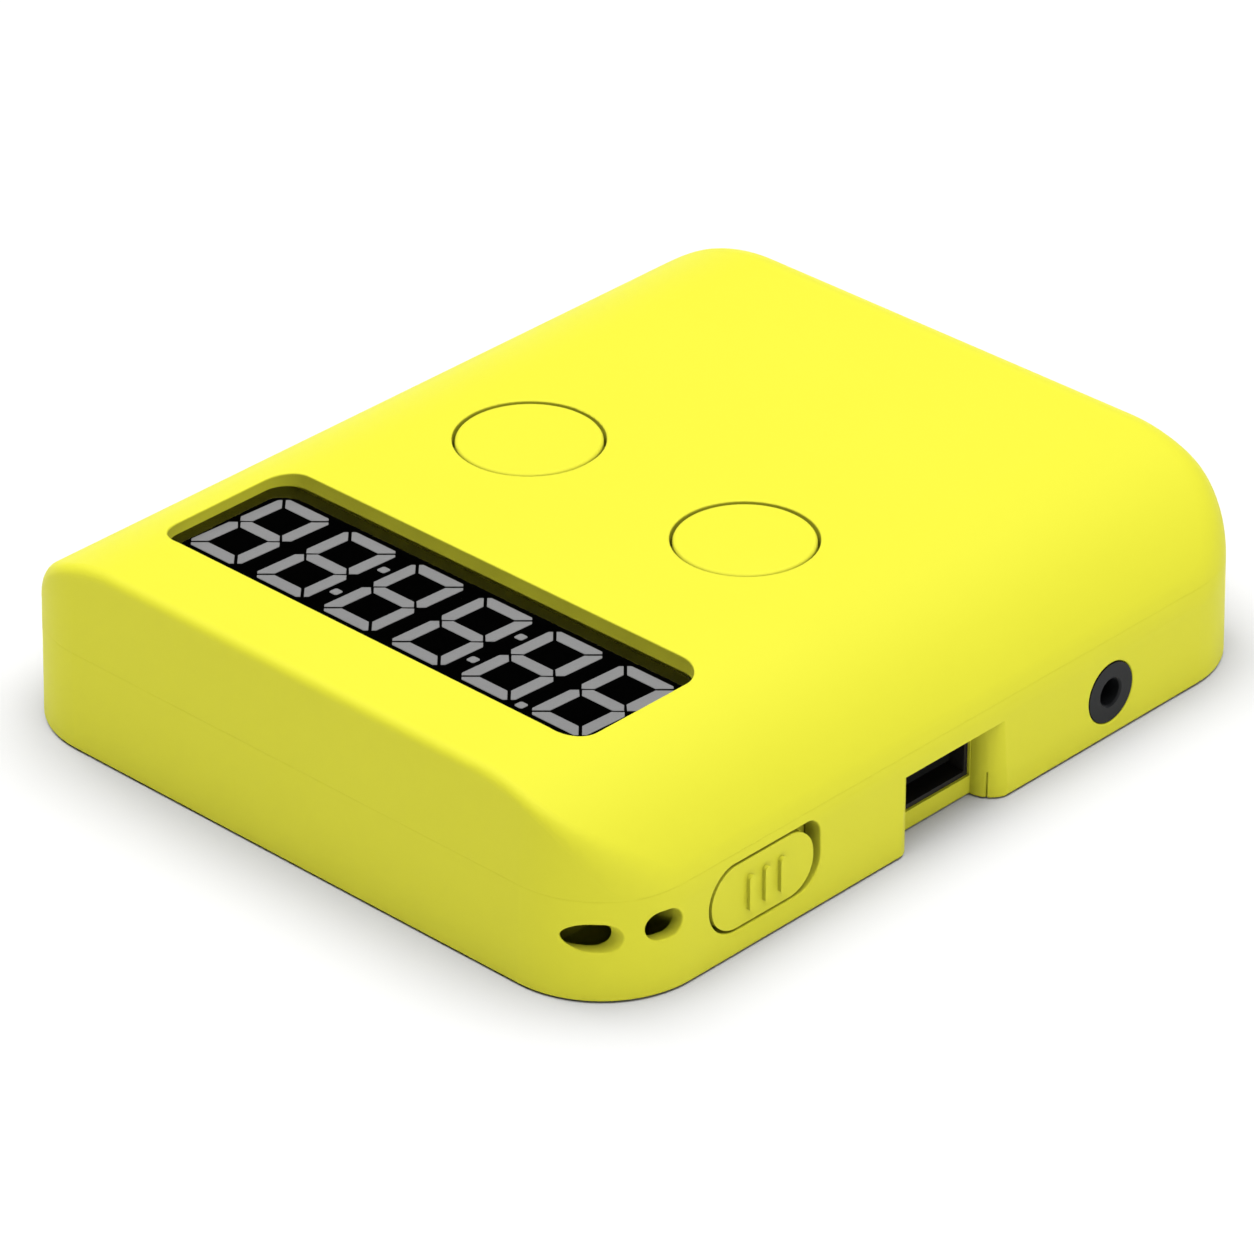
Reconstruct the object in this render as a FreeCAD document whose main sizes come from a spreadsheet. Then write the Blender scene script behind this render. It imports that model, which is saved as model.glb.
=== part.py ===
import FreeCAD, Part, Sketcher
import math
import os
from FreeCAD import Placement, Rotation, Vector

# Pocket speed-cube timer.
# +Z up, +X to the right of the reader, -Y towards the reader (the display's side).
# The origin is under the middle of the case, on the surface that the rubber feet stand on.
# All lengths are in millimetres and all angles in degrees.

SIZES = [
    # the case
    ("case_depth", 87.0, "front to back, at the base"),
    ("case_height", 19.1, "moulded case alone, without the feet"),
    ("bay_side", 6.3, "from the case's left side to the battery bay"),
    ("bay_to_board", 2.3, "from the battery bay to the side board"),
    ("side_board_width", 8.8, ""),
    ("side_board_side", 4.2, "from the side board to the case's right side"),
    ("corner_radius", 10.2, "corners of the plan"),
    ("draft_angle", 1.3, "lean of every outer wall"),
    ("crown_reach", 15.5, "from the case's side to where the roll of the top starts"),
    ("crown_level", 9.6, "height where that roll meets the side wall"),
    ("front_edge_radius", 1.0, "crisp edge along the front"),
    ("side_edge_radius", 6.0, "where the roll meets the side wall"),
    ("back_edge_radius", 4.0, "soft edge along the back"),
    ("base_edge_radius", 0.15, "bottom edge"),
    ("wall", 1.8, "side walls"),
    ("roof", 1.8, "top wall"),
    ("base_wall", 1.8, "bottom wall"),
    ("parting_level", 9.85, "height of the joint between the two shells"),
    ("parting_edge", 0.02, "fine rounding on both sides of the joint"),
    ("opening_edge", 0.12, "fine rounding round every opening"),
    ("lip_thickness", 0.8, "upstanding lip of the bottom shell"),
    ("lip_height", 1.2, "upstanding lip of the bottom shell"),
    ("lip_gap", 0.1, "clearance of the lip in the top shell"),
    # feet
    ("foot_drop", 0.2, "how far the feet stand out"),
    ("foot_seat", 0.7, "depth of a foot's seat in the base"),
    ("foot_radius", 3.0, ""),
    ("front_foot_side", 7.0, "front feet, from the case's side"),
    ("front_foot_front", 12.5, "front feet, from the case's front"),
    ("back_foot_side", 13.5, "back feet, from the case's side"),
    ("back_foot_back", 4.6, "back feet, from the case's back"),
    # case screws
    ("front_screw_side", 13.5, "front case screws, from the case's side"),
    ("front_screw_front", 4.6, "front case screws, from the case's front"),
    ("back_screw_side", 6.3, "back case screws, from the case's side"),
    ("back_screw_back", 6.1, "back case screws, from the case's back"),
    ("case_screw_radius", 0.95, "shank"),
    ("case_screw_head_radius", 1.9, ""),
    ("case_screw_head_height", 1.5, ""),
    ("case_screw_length", 9.0, "under the head"),
    ("case_screw_sink", 4.0, "depth of the counterbore from the base"),
    ("case_screw_clearance", 0.2, "hole in the bottom shell, each side"),
    ("pilot_clearance", 0.05, "pilot hole round any screw, each side"),
    ("top_post_radius", 2.3, "screw post of the top shell"),
    ("bottom_post_radius", 3.0, "screw post of the bottom shell"),
    # display
    ("window_side", 12.0, "from the case's side to the opening over the display"),
    ("window_width", 16.0, "front to back"),
    ("window_corner", 2.6, ""),
    ("window_front", 16.95, "middle of the window, from the case's front"),
    ("window_recess", 1.5, "from the top face down to the clear window"),
    ("lens_border", 1.5, "hidden border of the clear window"),
    ("lens_thickness", 0.6, ""),
    ("lens_gap", 0.1, "clearance of the clear window in its seat"),
    ("fence_thickness", 0.8, "rib that fences the display in"),
    ("fence_drop", 3.3, "depth of that rib below the clear window's top"),
    ("panel_inset", 0.2, "liquid crystal panel, inside the clear window's edge"),
    ("panel_thickness", 1.6, ""),
    ("panel_ledge", 0.75, "contact ledge of the panel's rear glass"),
    ("rear_glass", 0.8, "thickness of the rear glass"),
    ("segment_thickness", 0.05, "printed segments on the panel"),
    ("segment_gap", 0.05, "air between the segments and the clear window"),
    ("digit_count", 6, ""),
    ("digits_side", 0.45, "from the window's end to the first digit's share of the row"),
    ("digit_space", 1.98, "between two digits"),
    ("digit_height", 11.5, "outer height of a digit"),
    ("digit_slant", 3.3, "lean of the digits, degrees"),
    ("digit_stroke", 1.32, "width of a segment"),
    ("digit_slit", 0.3, "gap between two segments"),
    ("digit_chamfer", 0.75, "outer corners of a digit"),
    ("digits_shift", 0.73, "middle of the digits, behind the middle of the window"),
    ("digits_right", -0.55, "middle of the digits, right of the middle of the case"),
    ("dot_size", 0.9, "colon and decimal dots"),
    ("colon_spread", 2.75, "each colon dot, from the middle of the digits"),
    ("frame_wall", 0.75, "walls of the display frame"),
    ("strip_width", 1.7, "conductive rubber strip"),
    ("strip_side", 1.5, "from the window's end to the strip's end"),
    ("strip_gap", 0.1, "clearance of a strip in its slot"),
    # main board
    ("board_level", 11.3, "underside of the main board"),
    ("board_thickness", 1.2, ""),
    ("board_side", 5.8, "its side edges, from the case's side"),
    ("board_front", 7.1, "its front edge, from the case's front"),
    ("board_to_bay", 1.25, "its back edge, from the battery bay"),
    ("board_corner", 2.0, ""),
    ("board_post_side", 3.5, "board screws, from the board's side edges"),
    ("board_post_front", 14.05, "front pair of board screws, behind the middle of the window"),
    ("board_post_back", 4.3, "back pair of board screws, from the board's back edge"),
    ("board_post_radius", 2.2, ""),
    ("board_screw_radius", 0.7, "shank"),
    ("board_screw_head_radius", 1.5, ""),
    ("board_screw_head_height", 1.0, ""),
    ("board_screw_length", 3.9, "under the head"),
    ("board_hole_clearance", 0.3, "screw hole of a board, each side"),
    # buttons
    ("button_side", 13.13, "middle of a button, from the middle of the pair"),
    ("buttons_right", -0.23, "middle of the pair, right of the middle of the case"),
    ("button_back", 9.4, "middle of a button, from the main board's back edge"),
    ("left_button_radius", 6.7, ""),
    ("right_button_radius", 6.38, ""),
    ("button_gap", 0.25, "gap round a button"),
    ("button_sink", 0.06, "rim of a button below the top face"),
    ("button_edge", 0.3, "rounded rim of a button"),
    ("button_dish", 0.18, "depth of the finger dish"),
    ("button_top_wall", 1.4, ""),
    ("button_side_wall", 1.25, ""),
    ("flange_reach", 1.05, "flange that keeps a button in, beyond its side"),
    ("flange_thickness", 0.9, ""),
    ("flange_gap", 0.05, "between the flange and the roof"),
    ("guide_gap", 0.2, "between the flange and its guide ring"),
    ("guide_wall", 0.9, "guide ring on the roof"),
    ("button_stem_radius", 2.2, ""),
    ("press_travel", 1.0, "full press of a button"),
    ("dome_base_radius", 5.5, "silicone dome, foot"),
    ("dome_base_height", 0.6, ""),
    ("dome_skirt_radius", 4.2, "silicone dome, lower end of the cone"),
    ("dome_tip_radius", 2.6, "silicone dome, plunger"),
    ("dome_cone_top", 2.1, "top of the cone above the board"),
    ("dome_height", 2.9, ""),
    ("dome_bore_foot", 3.3, "hollow of the dome at the board"),
    ("dome_bore_tip", 2.0, "hollow of the dome at its roof"),
    ("dome_bore_height", 1.5, ""),
    ("dome_stem_gap", 0.05, "between the dome and the button's stem"),
    ("pill_radius", 1.6, "carbon pill"),
    ("pill_thickness", 0.45, "carbon pill"),
    ("pad_radius", 2.2, "gilt pad under the pill"),
    ("pad_thickness", 0.04, "gilt pad under the pill"),
    # power slide
    ("slot_front", 12.63, "front end of the slot, from the case's front"),
    ("slot_length", 13.82, ""),
    ("slot_height", 6.55, ""),
    ("slot_level", 5.7, "middle height of the slot"),
    ("slot_high_corner", 1.5, "upper corner of the slot's back end"),
    ("slot_low_corner", 3.0, "lower corner of the slot's back end"),
    ("knob_gap", 0.2, "above and below the slide knob"),
    ("knob_front_gap", 0.38, "ahead of the slide knob"),
    ("knob_back_gap", 0.15, "behind the slide knob when it is on"),
    ("slide_travel", 0.7, "off to on"),
    ("knob_sink", 0.2, "knob's face inside the wall's foot line"),
    ("knob_rib_width", 0.72, ""),
    ("knob_rib_height", 3.5, ""),
    ("knob_rib_pitch", 1.94, ""),
    ("knob_rib_proud", 0.38, ""),
    ("knob_rib_shift", 0.3, "middle rib, behind the knob's middle"),
    ("knob_rib_drop", 0.2, "middle of the ribs, below the middle of the slot"),
    ("knob_plate", 0.85, "thickness of the plate behind the wall"),
    ("knob_plate_gap", 0.12, "between that plate and the wall"),
    ("knob_plate_cover", 1.5, "plate past the slot's ends, over the whole travel"),
    ("knob_plate_low", 2.45, "bottom of the plate"),
    ("knob_plate_high", 9.35, "top of the plate"),
    ("fork_reach", 1.7, "fork that holds the switch lever"),
    ("fork_prong", 1.0, ""),
    ("lever_width", 1.5, "lever of the slide switch"),
    ("lever_height", 1.3, ""),
    ("lever_level", 5.3, "middle height of the lever"),
    ("lever_gap", 0.05, "lever in its fork and in the switch"),
    ("switch_length", 8.6, "slide switch body"),
    ("switch_depth", 4.0, ""),
    ("switch_height", 2.8, ""),
    ("switch_slot_depth", 1.6, "pocket of the lever"),
    ("switch_stand_off", 2.0, "from the switch to the knob's plate"),
    # lanyard holes
    ("lanyard_front", 2.73, "front hole, from the case's front"),
    ("lanyard_back", 7.7, "back hole, from the case's front"),
    ("lanyard_front_level", 6.31, ""),
    ("lanyard_back_level", 6.75, ""),
    ("lanyard_front_width", 3.2, ""),
    ("lanyard_back_width", 3.5, ""),
    ("lanyard_height", 2.7, ""),
    ("lanyard_pocket_depth", 10.2, "from the case's right side"),
    ("lanyard_pocket_back", 9.5, "from the case's front"),
    ("pocket_wall", 1.0, ""),
    ("lanyard_wall", 1.15, "side wall round the holes"),
    ("lanyard_wall_reach", 2.4, "thin wall, above and below the front hole's middle"),
    # USB socket and its recess
    ("usb_behind", 0.2, "middle of the socket, behind the middle"),
    ("usb_level", 4.355, "middle height of the socket"),
    ("recess_width", 9.9, "flat back of the plug recess"),
    ("recess_round", 2.65, "sides of the recess, rounded out to the case's side"),
    ("recess_top", 7.82, ""),
    ("recess_depth", 2.6, ""),
    ("recess_wall", 1.2, "wall behind and beside the recess"),
    ("recess_slit_width", 0.2, "mould line in the recess"),
    ("recess_slit_height", 2.55, "mould line in the recess"),
    ("recess_slit_side", 1.2, "mould line, from the case's side"),
    ("recess_slit_reach", 0.66, "far side of the mould line, beside the flat back"),
    ("port_width", 9.7, "opening for the socket"),
    ("port_height", 4.61, "opening for the socket"),
    ("usb_width", 9.6, "metal shell of the socket"),
    ("usb_height", 4.49, ""),
    ("usb_length", 7.3, ""),
    ("usb_metal", 0.45, "sheet of the shell"),
    ("usb_set_back", 0.25, "shell's mouth behind the recess's back face"),
    ("tongue_width", 6.4, ""),
    ("tongue_thickness", 0.8, ""),
    ("tongue_reach", 5.0, ""),
    ("usb_block", 1.6, "rear block of the tongue"),
    ("usb_contact_count", 5, ""),
    ("usb_contact_pitch", 1.1, ""),
    ("usb_contact_width", 0.45, ""),
    ("usb_contact_thickness", 0.12, ""),
    # data jack
    ("jack_back", 22.4, "axis, from the case's back"),
    ("jack_level", 4.5, "height of the axis"),
    ("jack_nose_radius", 2.9, ""),
    ("jack_hole_gap", 0.1, "between the nose and the wall"),
    ("jack_nose_sink", 0.12, "nose inside the wall's foot line"),
    ("jack_bore_radius", 1.3, "2.5 mm plug"),
    ("jack_bore_depth", 10.0, ""),
    ("jack_mouth", 0.17, "lead-in of the bore"),
    ("jack_body_length", 9.7, ""),
    ("jack_body_width", 6.2, ""),
    ("jack_body_low", 2.4, "bottom of the jack's body"),
    ("jack_wall_gap", 0.1, "between the body and the wall"),
    ("jack_spring_thickness", 0.25, ""),
    ("jack_spring_width", 1.2, ""),
    # side board
    ("side_board_level", 6.6, "underside of the side board"),
    ("side_board_thickness", 1.0, ""),
    ("side_board_front", 12.0, "front edge, from the case's front"),
    ("side_board_back", 16.0, "back edge, from the case's back"),
    ("side_post_side", 2.0, "its screws, from its inner edge"),
    ("side_post_front", 12.5, "front screw, ahead of the middle of the socket"),
    ("side_post_back", 8.3, "back screw, ahead of the jack's axis"),
    ("link_front", 3.5, "connector between the boards, behind the front board screw"),
    ("link_back", 4.0, "connector, ahead of the back board screw"),
    ("link_width", 2.2, ""),
    ("link_side", 2.3, "middle of the connector, from the main board's side edge"),
    # batteries
    ("battery_radius", 5.25, "AAA cell"),
    ("battery_length", 44.5, "AAA cell, with its nub"),
    ("nub_radius", 1.9, ""),
    ("nub_height", 0.8, ""),
    ("battery_edge", 0.5, "rounded ends of the can"),
    ("battery_gap", 0.2, "each cell, from the middle of the bay"),
    ("bay_gap", 0.25, "between a cell and the bay"),
    ("bay_back", 8.65, "from the case's back to the battery bay"),
    ("bay_wall", 1.2, ""),
    ("bay_roof", 1.0, ""),
    ("battery_lift", 0.25, "cell above the cover"),
    ("plate_thickness", 0.4, "contact plate"),
    ("plate_width", 9.0, ""),
    ("plate_height", 9.0, ""),
    ("tab_width", 2.5, "solder tab of a plate"),
    ("tab_rise", 1.3, "tab above the bay's roof"),
    ("tab_gap", 0.2, "slot round a tab"),
    ("spring_wire", 0.25, "radius of the spring's wire"),
    ("spring_radius", 3.2, "at the plate"),
    ("spring_tip_radius", 2.0, "at the cell"),
    ("spring_length", 5.6, "pressed by a cell"),
    ("spring_turns", 4, ""),
    ("spring_gap", 0.05, "at each end"),
    ("wire_radius", 0.5, "battery wires"),
    ("wire_clear", 0.75, "axis of a wire above the bay's roof"),
    ("wire_tab_gap", 0.1, "between a wire and its tab"),
    ("red_lane", 0.3, "straight run of the red wire, left of the plates"),
    ("black_lane", 2.0, "straight run of the black wire, left of the plates"),
    ("wire_turn", 3.0, "first bend of a wire, ahead of its tab"),
    ("wire_edge", 2.0, "last bend over the bay's roof, from the roof's front edge"),
    ("wire_rise", 0.2, "how far a wire arches over the bay's roof"),
    ("wire_dip", 0.6, "bend above the main board, below the straight run"),
    ("wire_landing", 1.8, "where a wire meets the main board, from its back edge"),
    # battery cover
    ("cover_thickness", 1.3, ""),
    ("cover_lap", 1.2, "how far the cover laps the bay's opening"),
    ("cover_gap", 0.15, "round the cover"),
    ("cover_corner", 1.5, ""),
    ("cover_rib_width", 1.2, "rib between the cells"),
    ("cover_rib_height", 1.6, ""),
    ("cover_rib_end", 6.5, "from the bay's end to the rib's end"),
    ("cover_grip_width", 0.8, "grip grooves by the finger notch"),
    ("cover_grip_depth", 0.3, ""),
    ("cover_grip_length", 12.0, ""),
    ("finger_notch_radius", 5.0, "notch for a fingertip"),
    ("finger_notch_depth", 0.8, ""),
    # parts on the main board
    ("chip_radius", 4.5, "moulded cap over the controller"),
    ("chip_height", 1.1, ""),
    ("chip_side", -14.0, ""),
    ("chip_shift", 0.55, "behind the middle of the window"),
    ("crystal_radius", 1.0, "watch crystal"),
    ("crystal_length", 6.0, ""),
    ("crystal_side", -2.0, "its lead end"),
    ("crystal_shift", 0.55, "behind the middle of the window"),
    ("capacitor_length", 2.0, ""),
    ("capacitor_width", 1.25, ""),
    ("capacitor_height", 0.9, ""),
    ("capacitor_count", 5, ""),
    ("capacitor_pitch", 3.4, ""),
    ("capacitor_side", 8.0, "first capacitor"),
    ("capacitor_shift", 2.55, "front edge, behind the middle of the window"),
]

doc = FreeCAD.newDocument("PocketTimer")
sheet = doc.addObject("Spreadsheet::Sheet", "Sizes")
for row, (alias, value, meaning) in enumerate(SIZES, start=1):
    sheet.set(f"A{row}", alias)
    sheet.set(f"B{row}", str(value))
    sheet.setAlias(f"B{row}", alias)
    sheet.set(f"C{row}", meaning)
doc.recompute()


class Measure:
    """A length worked out from cells of the sheet: its formula for setExpression, and its number."""

    def __init__(self, formula, number):
        self.formula = formula
        self.number = number

    def join(self, sign, other, number):
        return Measure(f"({self.formula} {sign} {formula_of(other)})", number)

    def __add__(self, other):
        return self.join("+", other, self.number + number_of(other))

    def __sub__(self, other):
        return self.join("-", other, self.number - number_of(other))

    def __mul__(self, other):
        return self.join("*", other, self.number * number_of(other))

    def __truediv__(self, other):
        return self.join("/", other, self.number / number_of(other))

    def __radd__(self, other):
        return measure(other) + self

    def __rsub__(self, other):
        return measure(other) - self

    def __rmul__(self, other):
        return measure(other) * self

    def __neg__(self):
        return Measure(f"(0 - {self.formula})", -self.number)


def formula_of(length):
    return length.formula if isinstance(length, Measure) else repr(length)


def number_of(length):
    return length.number if isinstance(length, Measure) else length


def measure(length):
    return length if isinstance(length, Measure) else Measure(repr(length), length)


def tangent_of(angle):
    return Measure(f"tan({angle.formula})", math.tan(math.radians(angle.number)))


class Cells:
    """Reads a cell of the sheet by its alias, as a Measure."""

    def __getattr__(self, alias):
        return Measure(f"Sizes.{alias}", float(sheet.get(alias)))


S = Cells()


# ---------------------------------------------------------------- how pieces are made

TURNS = {
    "x": Rotation(Vector(0, 1, 0), 90),
    "-x": Rotation(Vector(0, 1, 0), -90),
    "y": Rotation(Vector(1, 0, 0), -90),
    "z": Rotation(),
    "-z": Rotation(Vector(1, 0, 0), 180),
}


def bind(thing, **lengths):
    for name, length in lengths.items():
        thing.setExpression(name, formula_of(length))
    return thing


def place(thing, x, y, z, axis="z"):
    """Puts a thing's own origin at x, y, z, with its own +Z along the axis."""
    thing.Placement = Placement(Vector(), TURNS[axis])
    for letter, length in (("x", x), ("y", y), ("z", z)):
        thing.setExpression(f"Placement.Base.{letter}", formula_of(length))
    return thing


def box(name, low, high):
    """A block between two opposite corners."""
    block = doc.addObject("Part::Box", name)
    bind(block, Length=high[0] - low[0], Width=high[1] - low[1], Height=high[2] - low[2])
    return place(block, *low)


def rod(name, radius, start, length, axis="z"):
    """A round rod from a point, along an axis."""
    bar = doc.addObject("Part::Cylinder", name)
    bind(bar, Radius=radius, Height=length)
    return place(bar, *start, axis)


def cone(name, foot_radius, tip_radius, start, length, axis="z"):
    taper = doc.addObject("Part::Cone", name)
    bind(taper, Radius1=foot_radius, Radius2=tip_radius, Height=length)
    return place(taper, *start, axis)


def join(name, *shapes):
    whole = doc.addObject("Part::MultiFuse", name)
    whole.Shapes = list(shapes)
    return whole


def meet(name, *shapes):
    whole = doc.addObject("Part::MultiCommon", name)
    whole.Shapes = list(shapes)
    return whole


def cut(name, base, *tools):
    rest = doc.addObject("Part::Cut", name)
    rest.Base = base
    rest.Tool = tools[0] if len(tools) == 1 else join(name + "Tools", *tools)
    return rest


def group(name, *shapes):
    """Like pieces kept as separate solids of one node."""
    several = doc.addObject("Part::Compound", name)
    several.Links = list(shapes)
    return several


def round_edges(name, base, radius, wanted):
    """Rounds the edges that wanted(edge) picks. radius is a Measure."""
    doc.recompute()
    rounded = doc.addObject("Part::Fillet", name)
    rounded.Base = base
    edges = base.Shape.Edges
    size = radius.number
    rounded.Edges = [(i, size, size) for i, edge in enumerate(edges, start=1) if wanted(edge)]
    return rounded


def lies_on(surface, point):
    return surface.distToShape(Part.Vertex(point))[0] < 1e-3


def rim_of(*holes):
    """Picks the edges where the holes break through the case's outer skin."""
    skin = outer_form.Shape.Shells[0]
    walls = [hole.Shape.Shells[0] for hole in holes]

    def wanted(edge):
        first, last = edge.ParameterRange
        points = [edge.valueAt(first + (last - first) * share) for share in (0.2, 0.5, 0.8)]
        near = [wall for wall in walls if wall.BoundBox.isInside(points[1])]
        return (
            any(all(lies_on(wall, point) for point in points) for wall in near)
            and all(lies_on(skin, point) for point in points)
        )

    return wanted


def upright(edge):
    """True for a straight edge along Z."""
    ends = [corner.Point for corner in edge.Vertexes]
    return len(ends) == 2 and abs(ends[1].z - ends[0].z) > edge.Length - 1e-6


def level_at(height):
    """Picks the edges that lie at one height."""
    return lambda edge: abs(edge.BoundBox.ZMin - height) < 1e-4 and edge.BoundBox.ZLength < 1e-4


def sketch_in(body, name, plane):
    sketch = body.newObject("Sketcher::SketchObject", name)
    planes = body.Origin.OriginFeatures
    sketch.AttachmentSupport = [(next(p for p in planes if p.Role == plane), "")]
    sketch.MapMode = "FlatFace"
    return sketch


def draw_polygon(sketch, points):
    """A closed polygon whose corners are each held by two lengths from the sketch's origin."""
    corners = [Vector(number_of(x), number_of(y), 0) for x, y in points]
    count = len(corners)
    for i in range(count):
        sketch.addGeometry(Part.LineSegment(corners[i], corners[(i + 1) % count]), False)
    for i in range(count):
        sketch.addConstraint(Sketcher.Constraint("Coincident", i, 2, (i + 1) % count, 1))
    for i, (x, y) in enumerate(points):
        for kind, axis, length in (("DistanceX", -2, x), ("DistanceY", -1, y)):
            if number_of(length) == 0:
                sketch.addConstraint(Sketcher.Constraint("PointOnObject", i, 1, axis))
                continue
            held = sketch.addConstraint(Sketcher.Constraint(kind, i, 1, number_of(length)))
            sketch.setExpression(f"Constraints[{held}]", formula_of(length))


def turned(name, points):
    """A body of revolution about its own Z axis, from (radius, height) corners."""
    body = doc.addObject("PartDesign::Body", name)
    sketch = sketch_in(body, name + "Profile", "XZ_Plane")
    draw_polygon(sketch, points)
    spin = body.newObject("PartDesign::Revolution", name + "Turn")
    spin.Profile = sketch
    spin.ReferenceAxis = (sketch, ["V_Axis"])
    spin.Angle = 360
    return body


def padded(name, points, height):
    """A flat body: a polygon in the XY plane, raised to a height."""
    body = doc.addObject("PartDesign::Body", name)
    sketch = sketch_in(body, name + "Outline", "XY_Plane")
    draw_polygon(sketch, points)
    pad = body.newObject("PartDesign::Pad", name + "Pad")
    pad.Profile = sketch
    bind(pad, Length=height)
    return body


def rounded_outline(name, length, width, radius):
    """A rectangle with round corners, centred on the origin, as a sketch."""
    sketch = doc.addObject("Sketcher::SketchObject", name)
    half_x, half_y, size = number_of(length) / 2, number_of(width) / 2, number_of(radius)
    in_x, in_y = half_x - size, half_y - size
    line = lambda x0, y0, x1, y1: Part.LineSegment(Vector(x0, y0, 0), Vector(x1, y1, 0))
    arc = lambda x, y, start: Part.ArcOfCircle(
        Part.Circle(Vector(x, y, 0), Vector(0, 0, 1), size),
        math.radians(start),
        math.radians(start + 90),
    )
    sketch.addGeometry(
        [
            line(-in_x, -half_y, in_x, -half_y),
            arc(in_x, -in_y, -90),
            line(half_x, -in_y, half_x, in_y),
            arc(in_x, in_y, 0),
            line(in_x, half_y, -in_x, half_y),
            arc(-in_x, in_y, 90),
            line(-half_x, in_y, -half_x, -in_y),
            arc(-in_x, -in_y, 180),
        ],
        False,
    )
    tie = Sketcher.Constraint
    sketch.addConstraint([tie("Tangent", i, 2, (i + 1) % 8, 1) for i in range(8)])
    sketch.addConstraint([tie("Horizontal", 0), tie("Vertical", 2)])
    sketch.addConstraint([tie("Horizontal", 4), tie("Vertical", 6)])
    sketch.addConstraint([tie("Equal", 1, 3), tie("Equal", 1, 5)])
    sketch.addConstraint(tie("Symmetric", 1, 3, 5, 3, -1, 1))
    for constraint, formula in (
        (tie("Radius", 1, size), radius),
        (tie("DistanceX", 6, 1, 2, 1, 2 * half_x), length),
        (tie("DistanceY", 0, 1, 4, 1, 2 * half_y), width),
    ):
        held = sketch.addConstraint(constraint)
        sketch.setExpression(f"Constraints[{held}]", formula_of(formula))
    return sketch


def raised(name, sketch, height, level, draft=None):
    """A sketch in the XY plane pulled up, leaning inwards by the draft angle."""
    body = doc.addObject("Part::Extrusion", name)
    body.Base = sketch
    body.DirMode = "Custom"
    body.Dir = Vector(0, 0, 1)
    body.Solid = True
    bind(body, LengthFwd=height)
    if draft:
        bind(body, TaperAngle=-draft)
    return place(body, 0, 0, level)


def tube(points, radius):
    """A round wire along straight runs joined by tangent arcs, as large as the runs allow."""
    edges = []
    last = points[0]
    for i in range(1, len(points) - 1):
        back, on = points[i - 1] - points[i], points[i + 1] - points[i]
        turn = math.pi - back.getAngle(on)
        reach = 0.45 * min(back.Length, on.Length)
        back.normalize()
        on.normalize()
        start, end = points[i] + back * reach, points[i] + on * reach
        bend = reach / math.tan(turn / 2)
        inward = (back + on).normalize()
        middle = points[i] + inward * (bend / math.cos(turn / 2) - bend)
        edges.append(Part.LineSegment(last, start).toShape())
        edges.append(Part.Arc(start, middle, end).toShape())
        last = end
    edges.append(Part.LineSegment(last, points[-1]).toShape())
    route = Part.Wire(edges)
    along = points[1] - points[0]
    section = Part.Wire(Part.Circle(points[0], along, radius).toShape())
    swept = route.makePipeShell([section], True, False)
    expected = math.pi * radius**2 * route.Length
    if abs(swept.Volume - expected) > 0.02 * expected:
        raise ValueError("a wire's volume doesn't match its section and length")
    return swept


pieces = {}


def piece(node, thing):
    """Names a finished piece: its label is its node's name."""
    thing.Label = node
    pieces[node] = thing
    return thing


# ---------------------------------------------------------------- levels and faces that pieces share

BASE = S.foot_drop
TOP = BASE + S.case_height
LEAN = tangent_of(S.draft_angle)
BASE_INSIDE = BASE + S.base_wall
ROOF_INSIDE = TOP - S.roof
HALF_DEPTH = S.case_depth / 2
BOARD_TOP = S.board_level + S.board_thickness
LENS_TOP = TOP - S.window_recess
LENS_LOW = LENS_TOP - S.lens_thickness
PANEL_TOP = LENS_LOW - S.segment_gap - S.segment_thickness
PANEL_LOW = PANEL_TOP - S.panel_thickness

# The case is as wide as what lies side by side in it: the battery bay and the side board.
BAY_LENGTH = S.battery_length + S.spring_length + 2 * (S.spring_gap + S.plate_thickness)
BAY_SPAN = BAY_LENGTH + 2 * S.bay_wall
CASE_WIDTH = S.bay_side + BAY_SPAN + S.bay_to_board + S.side_board_width + S.side_board_side
HALF_WIDTH = CASE_WIDTH / 2


def wall_outside(level):
    """X of the right wall's outer face at a height."""
    return HALF_WIDTH - LEAN * (level - BASE)


def wall_inside(level):
    return wall_outside(level) - S.wall


# ---------------------------------------------------------------- the case's two forms


CROWN_X = HALF_WIDTH - S.crown_reach
CROWN_DROP = TOP - S.crown_level
CROWN_SPAN = wall_outside(S.crown_level) - CROWN_X
CROWN_RADIUS = (CROWN_SPAN * CROWN_SPAN + CROWN_DROP * CROWN_DROP) / (2 * CROWN_DROP)
CROWN_AXIS = TOP - CROWN_RADIUS


def case_form(name, inset, top, rounded):
    """The plan with round corners, leaning in by the draft, under the roll of the two top edges."""
    outline = rounded_outline(
        name + "Plan",
        CASE_WIDTH - 2 * inset,
        S.case_depth - 2 * inset,
        S.corner_radius - inset,
    )
    block = raised(name + "Block", outline, S.case_height + 2.0, BASE, S.draft_angle)
    radius = CROWN_RADIUS - (TOP - top)
    reach = HALF_WIDTH * 2
    rolls = [
        rod(name + side + "Roll", radius, (x, -reach, CROWN_AXIS), reach * 2, "y")
        for side, x in (("Left", -CROWN_X), ("Right", CROWN_X))
    ]
    middle = box(name + "Flat", (-CROWN_X, -reach, CROWN_AXIS), (CROWN_X, reach, top))
    skirt = box(
        name + "Skirt", (-reach, -reach, CROWN_AXIS - S.case_height), (reach, reach, CROWN_AXIS)
    )
    crown = join(name + "Crown", middle, skirt, *rolls)
    form = meet(name, block, crown)
    if not rounded:
        return form
    return soften_rim(form)


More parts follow.
